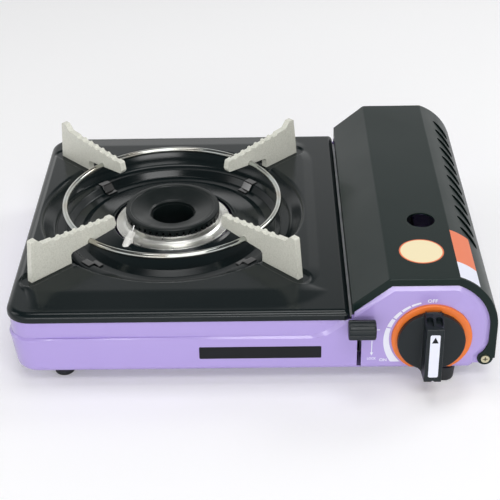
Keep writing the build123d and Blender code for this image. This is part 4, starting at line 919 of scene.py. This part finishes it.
# floor, light and camera
floorShape = {"half": 4000.0, "lift": 0.16}  # lift brightens the floor for the camera alone
floorMaterial = finish("floor", (0.86, 0.86, 0.87, 1), roughness=0.9, specular=0.05)
floorNodes = floorMaterial.node_tree.nodes
floorLinks = floorMaterial.node_tree.links
sight = floorNodes.new("ShaderNodeLightPath")
lift = floorNodes.new("ShaderNodeMath")
lift.operation = "MULTIPLY"
lift.inputs[1].default_value = floorShape["lift"]
floorLinks.new(sight.outputs["Is Camera Ray"], lift.inputs[0])
floorLinks.new(lift.outputs[0], floorNodes["Principled BSDF"].inputs["Emission Strength"])
floorNodes["Principled BSDF"].inputs["Emission Color"].default_value = (1, 1, 1, 1)
half = floorShape["half"]
floorMesh = meshFrom("floor", [(-half, -half, 0), (half, -half, 0), (half, half, 0), (-half, half, 0)],
                     [(0, 1, 2, 3)])
floor = linked("floor", floorMesh)
floorMesh.materials.append(floorMaterial)

# a bright horizon under a dim studio ceiling; each stop is the height of the ray's direction and a grey
skyStops = ((0.0, 1.0), (0.27, 1.1), (0.36, 1.0), (0.47, 0.8), (0.565, 0.62), (0.66, 0.14), (0.86, 0.08),
            (1.0, 0.3))
world = bpy.data.worlds.new("studio")
world.use_nodes = True
skyNodes = world.node_tree.nodes
skyLinks = world.node_tree.links
skyWay = skyNodes.new("ShaderNodeTexCoord")
skyParts = skyNodes.new("ShaderNodeSeparateXYZ")
skyRamp = skyNodes.new("ShaderNodeValToRGB")
skyRamp.color_ramp.interpolation = "EASE"
for index, (height, grey) in enumerate(skyStops):
    elements = skyRamp.color_ramp.elements
    stop = elements[index] if index < 2 else elements.new(height)
    stop.position = height
    stop.color = (grey, grey, grey, 1)
skyLinks.new(skyWay.outputs["Generated"], skyParts.inputs[0])
skyLinks.new(skyParts.outputs["Z"], skyRamp.inputs[0])
skyLinks.new(skyRamp.outputs["Color"], skyNodes["Background"].inputs["Color"])
# the glow stands behind and in front, and is weaker to the sides
skyDepth = skyNodes.new("ShaderNodeMath")
skyDepth.operation = "ABSOLUTE"
skySides = mapRange(skyNodes, 0.25, 0.75, 0.65, 1.0)
skyLinks.new(skyParts.outputs["Y"], skyDepth.inputs[0])
skyLinks.new(skyDepth.outputs[0], skySides.inputs["Value"])
skyLinks.new(skySides.outputs["Result"], skyNodes["Background"].inputs["Strength"])
bpy.context.scene.world = world


def softbox(name, place, target, width, height, power):
    lamp = bpy.data.lights.new(name, "AREA")
    lamp.shape = "RECTANGLE"
    lamp.size = width
    lamp.size_y = height
    lamp.energy = power
    holder = linked(name, lamp)
    holder.location = place
    way = Vector(target) - Vector(place)
    holder.rotation_euler = way.to_track_quat("-Z", "Y").to_euler()


# name, place, aim, width, height and power; lengths in metres
softboxes = (("main box", (0.3, -1.05, 1.45), (-0.02, 0, 0.05), 0.95, 0.42, 8.6),
             ("front strip", (0.1, -1.65, 0.52), (0, 0, 0.05), 1.8, 0.17, 6),
             ("right box", (1.0, 0.62, 1.05), (-0.05, 0, 0.05), 0.45, 0.45, 4),
             ("left box", (-1.35, -0.1, 0.9), (-0.05, 0, 0.05), 0.45, 0.9, 2),
             ("top box", (0.0, 0.05, 1.6), (0, 0, 0.05), 0.9, 0.6, 6))
for values in softboxes:
    softbox(*values)

cameraShape = {"lens": 91.32, "sensor": 36, "place": (0.01405, -0.83136, 0.55892),
               "right": (0.99981, 0.00679, -0.01854), "up": (0.01206, 0.53336, 0.84580),
               "back": (0.01564, -0.84586, 0.53318)}
camera = linked("camera", bpy.data.cameras.new("camera"))
camera.data.lens = cameraShape["lens"]
camera.data.sensor_width = cameraShape["sensor"]
axes = Matrix([cameraShape[way] for way in ("right", "up", "back")]).transposed().to_4x4()
camera.matrix_world = Matrix.Translation(cameraShape["place"]) @ axes
bpy.context.scene.camera = camera
bpy.context.scene.view_settings.view_transform = "Standard"
print("stage: scene set")
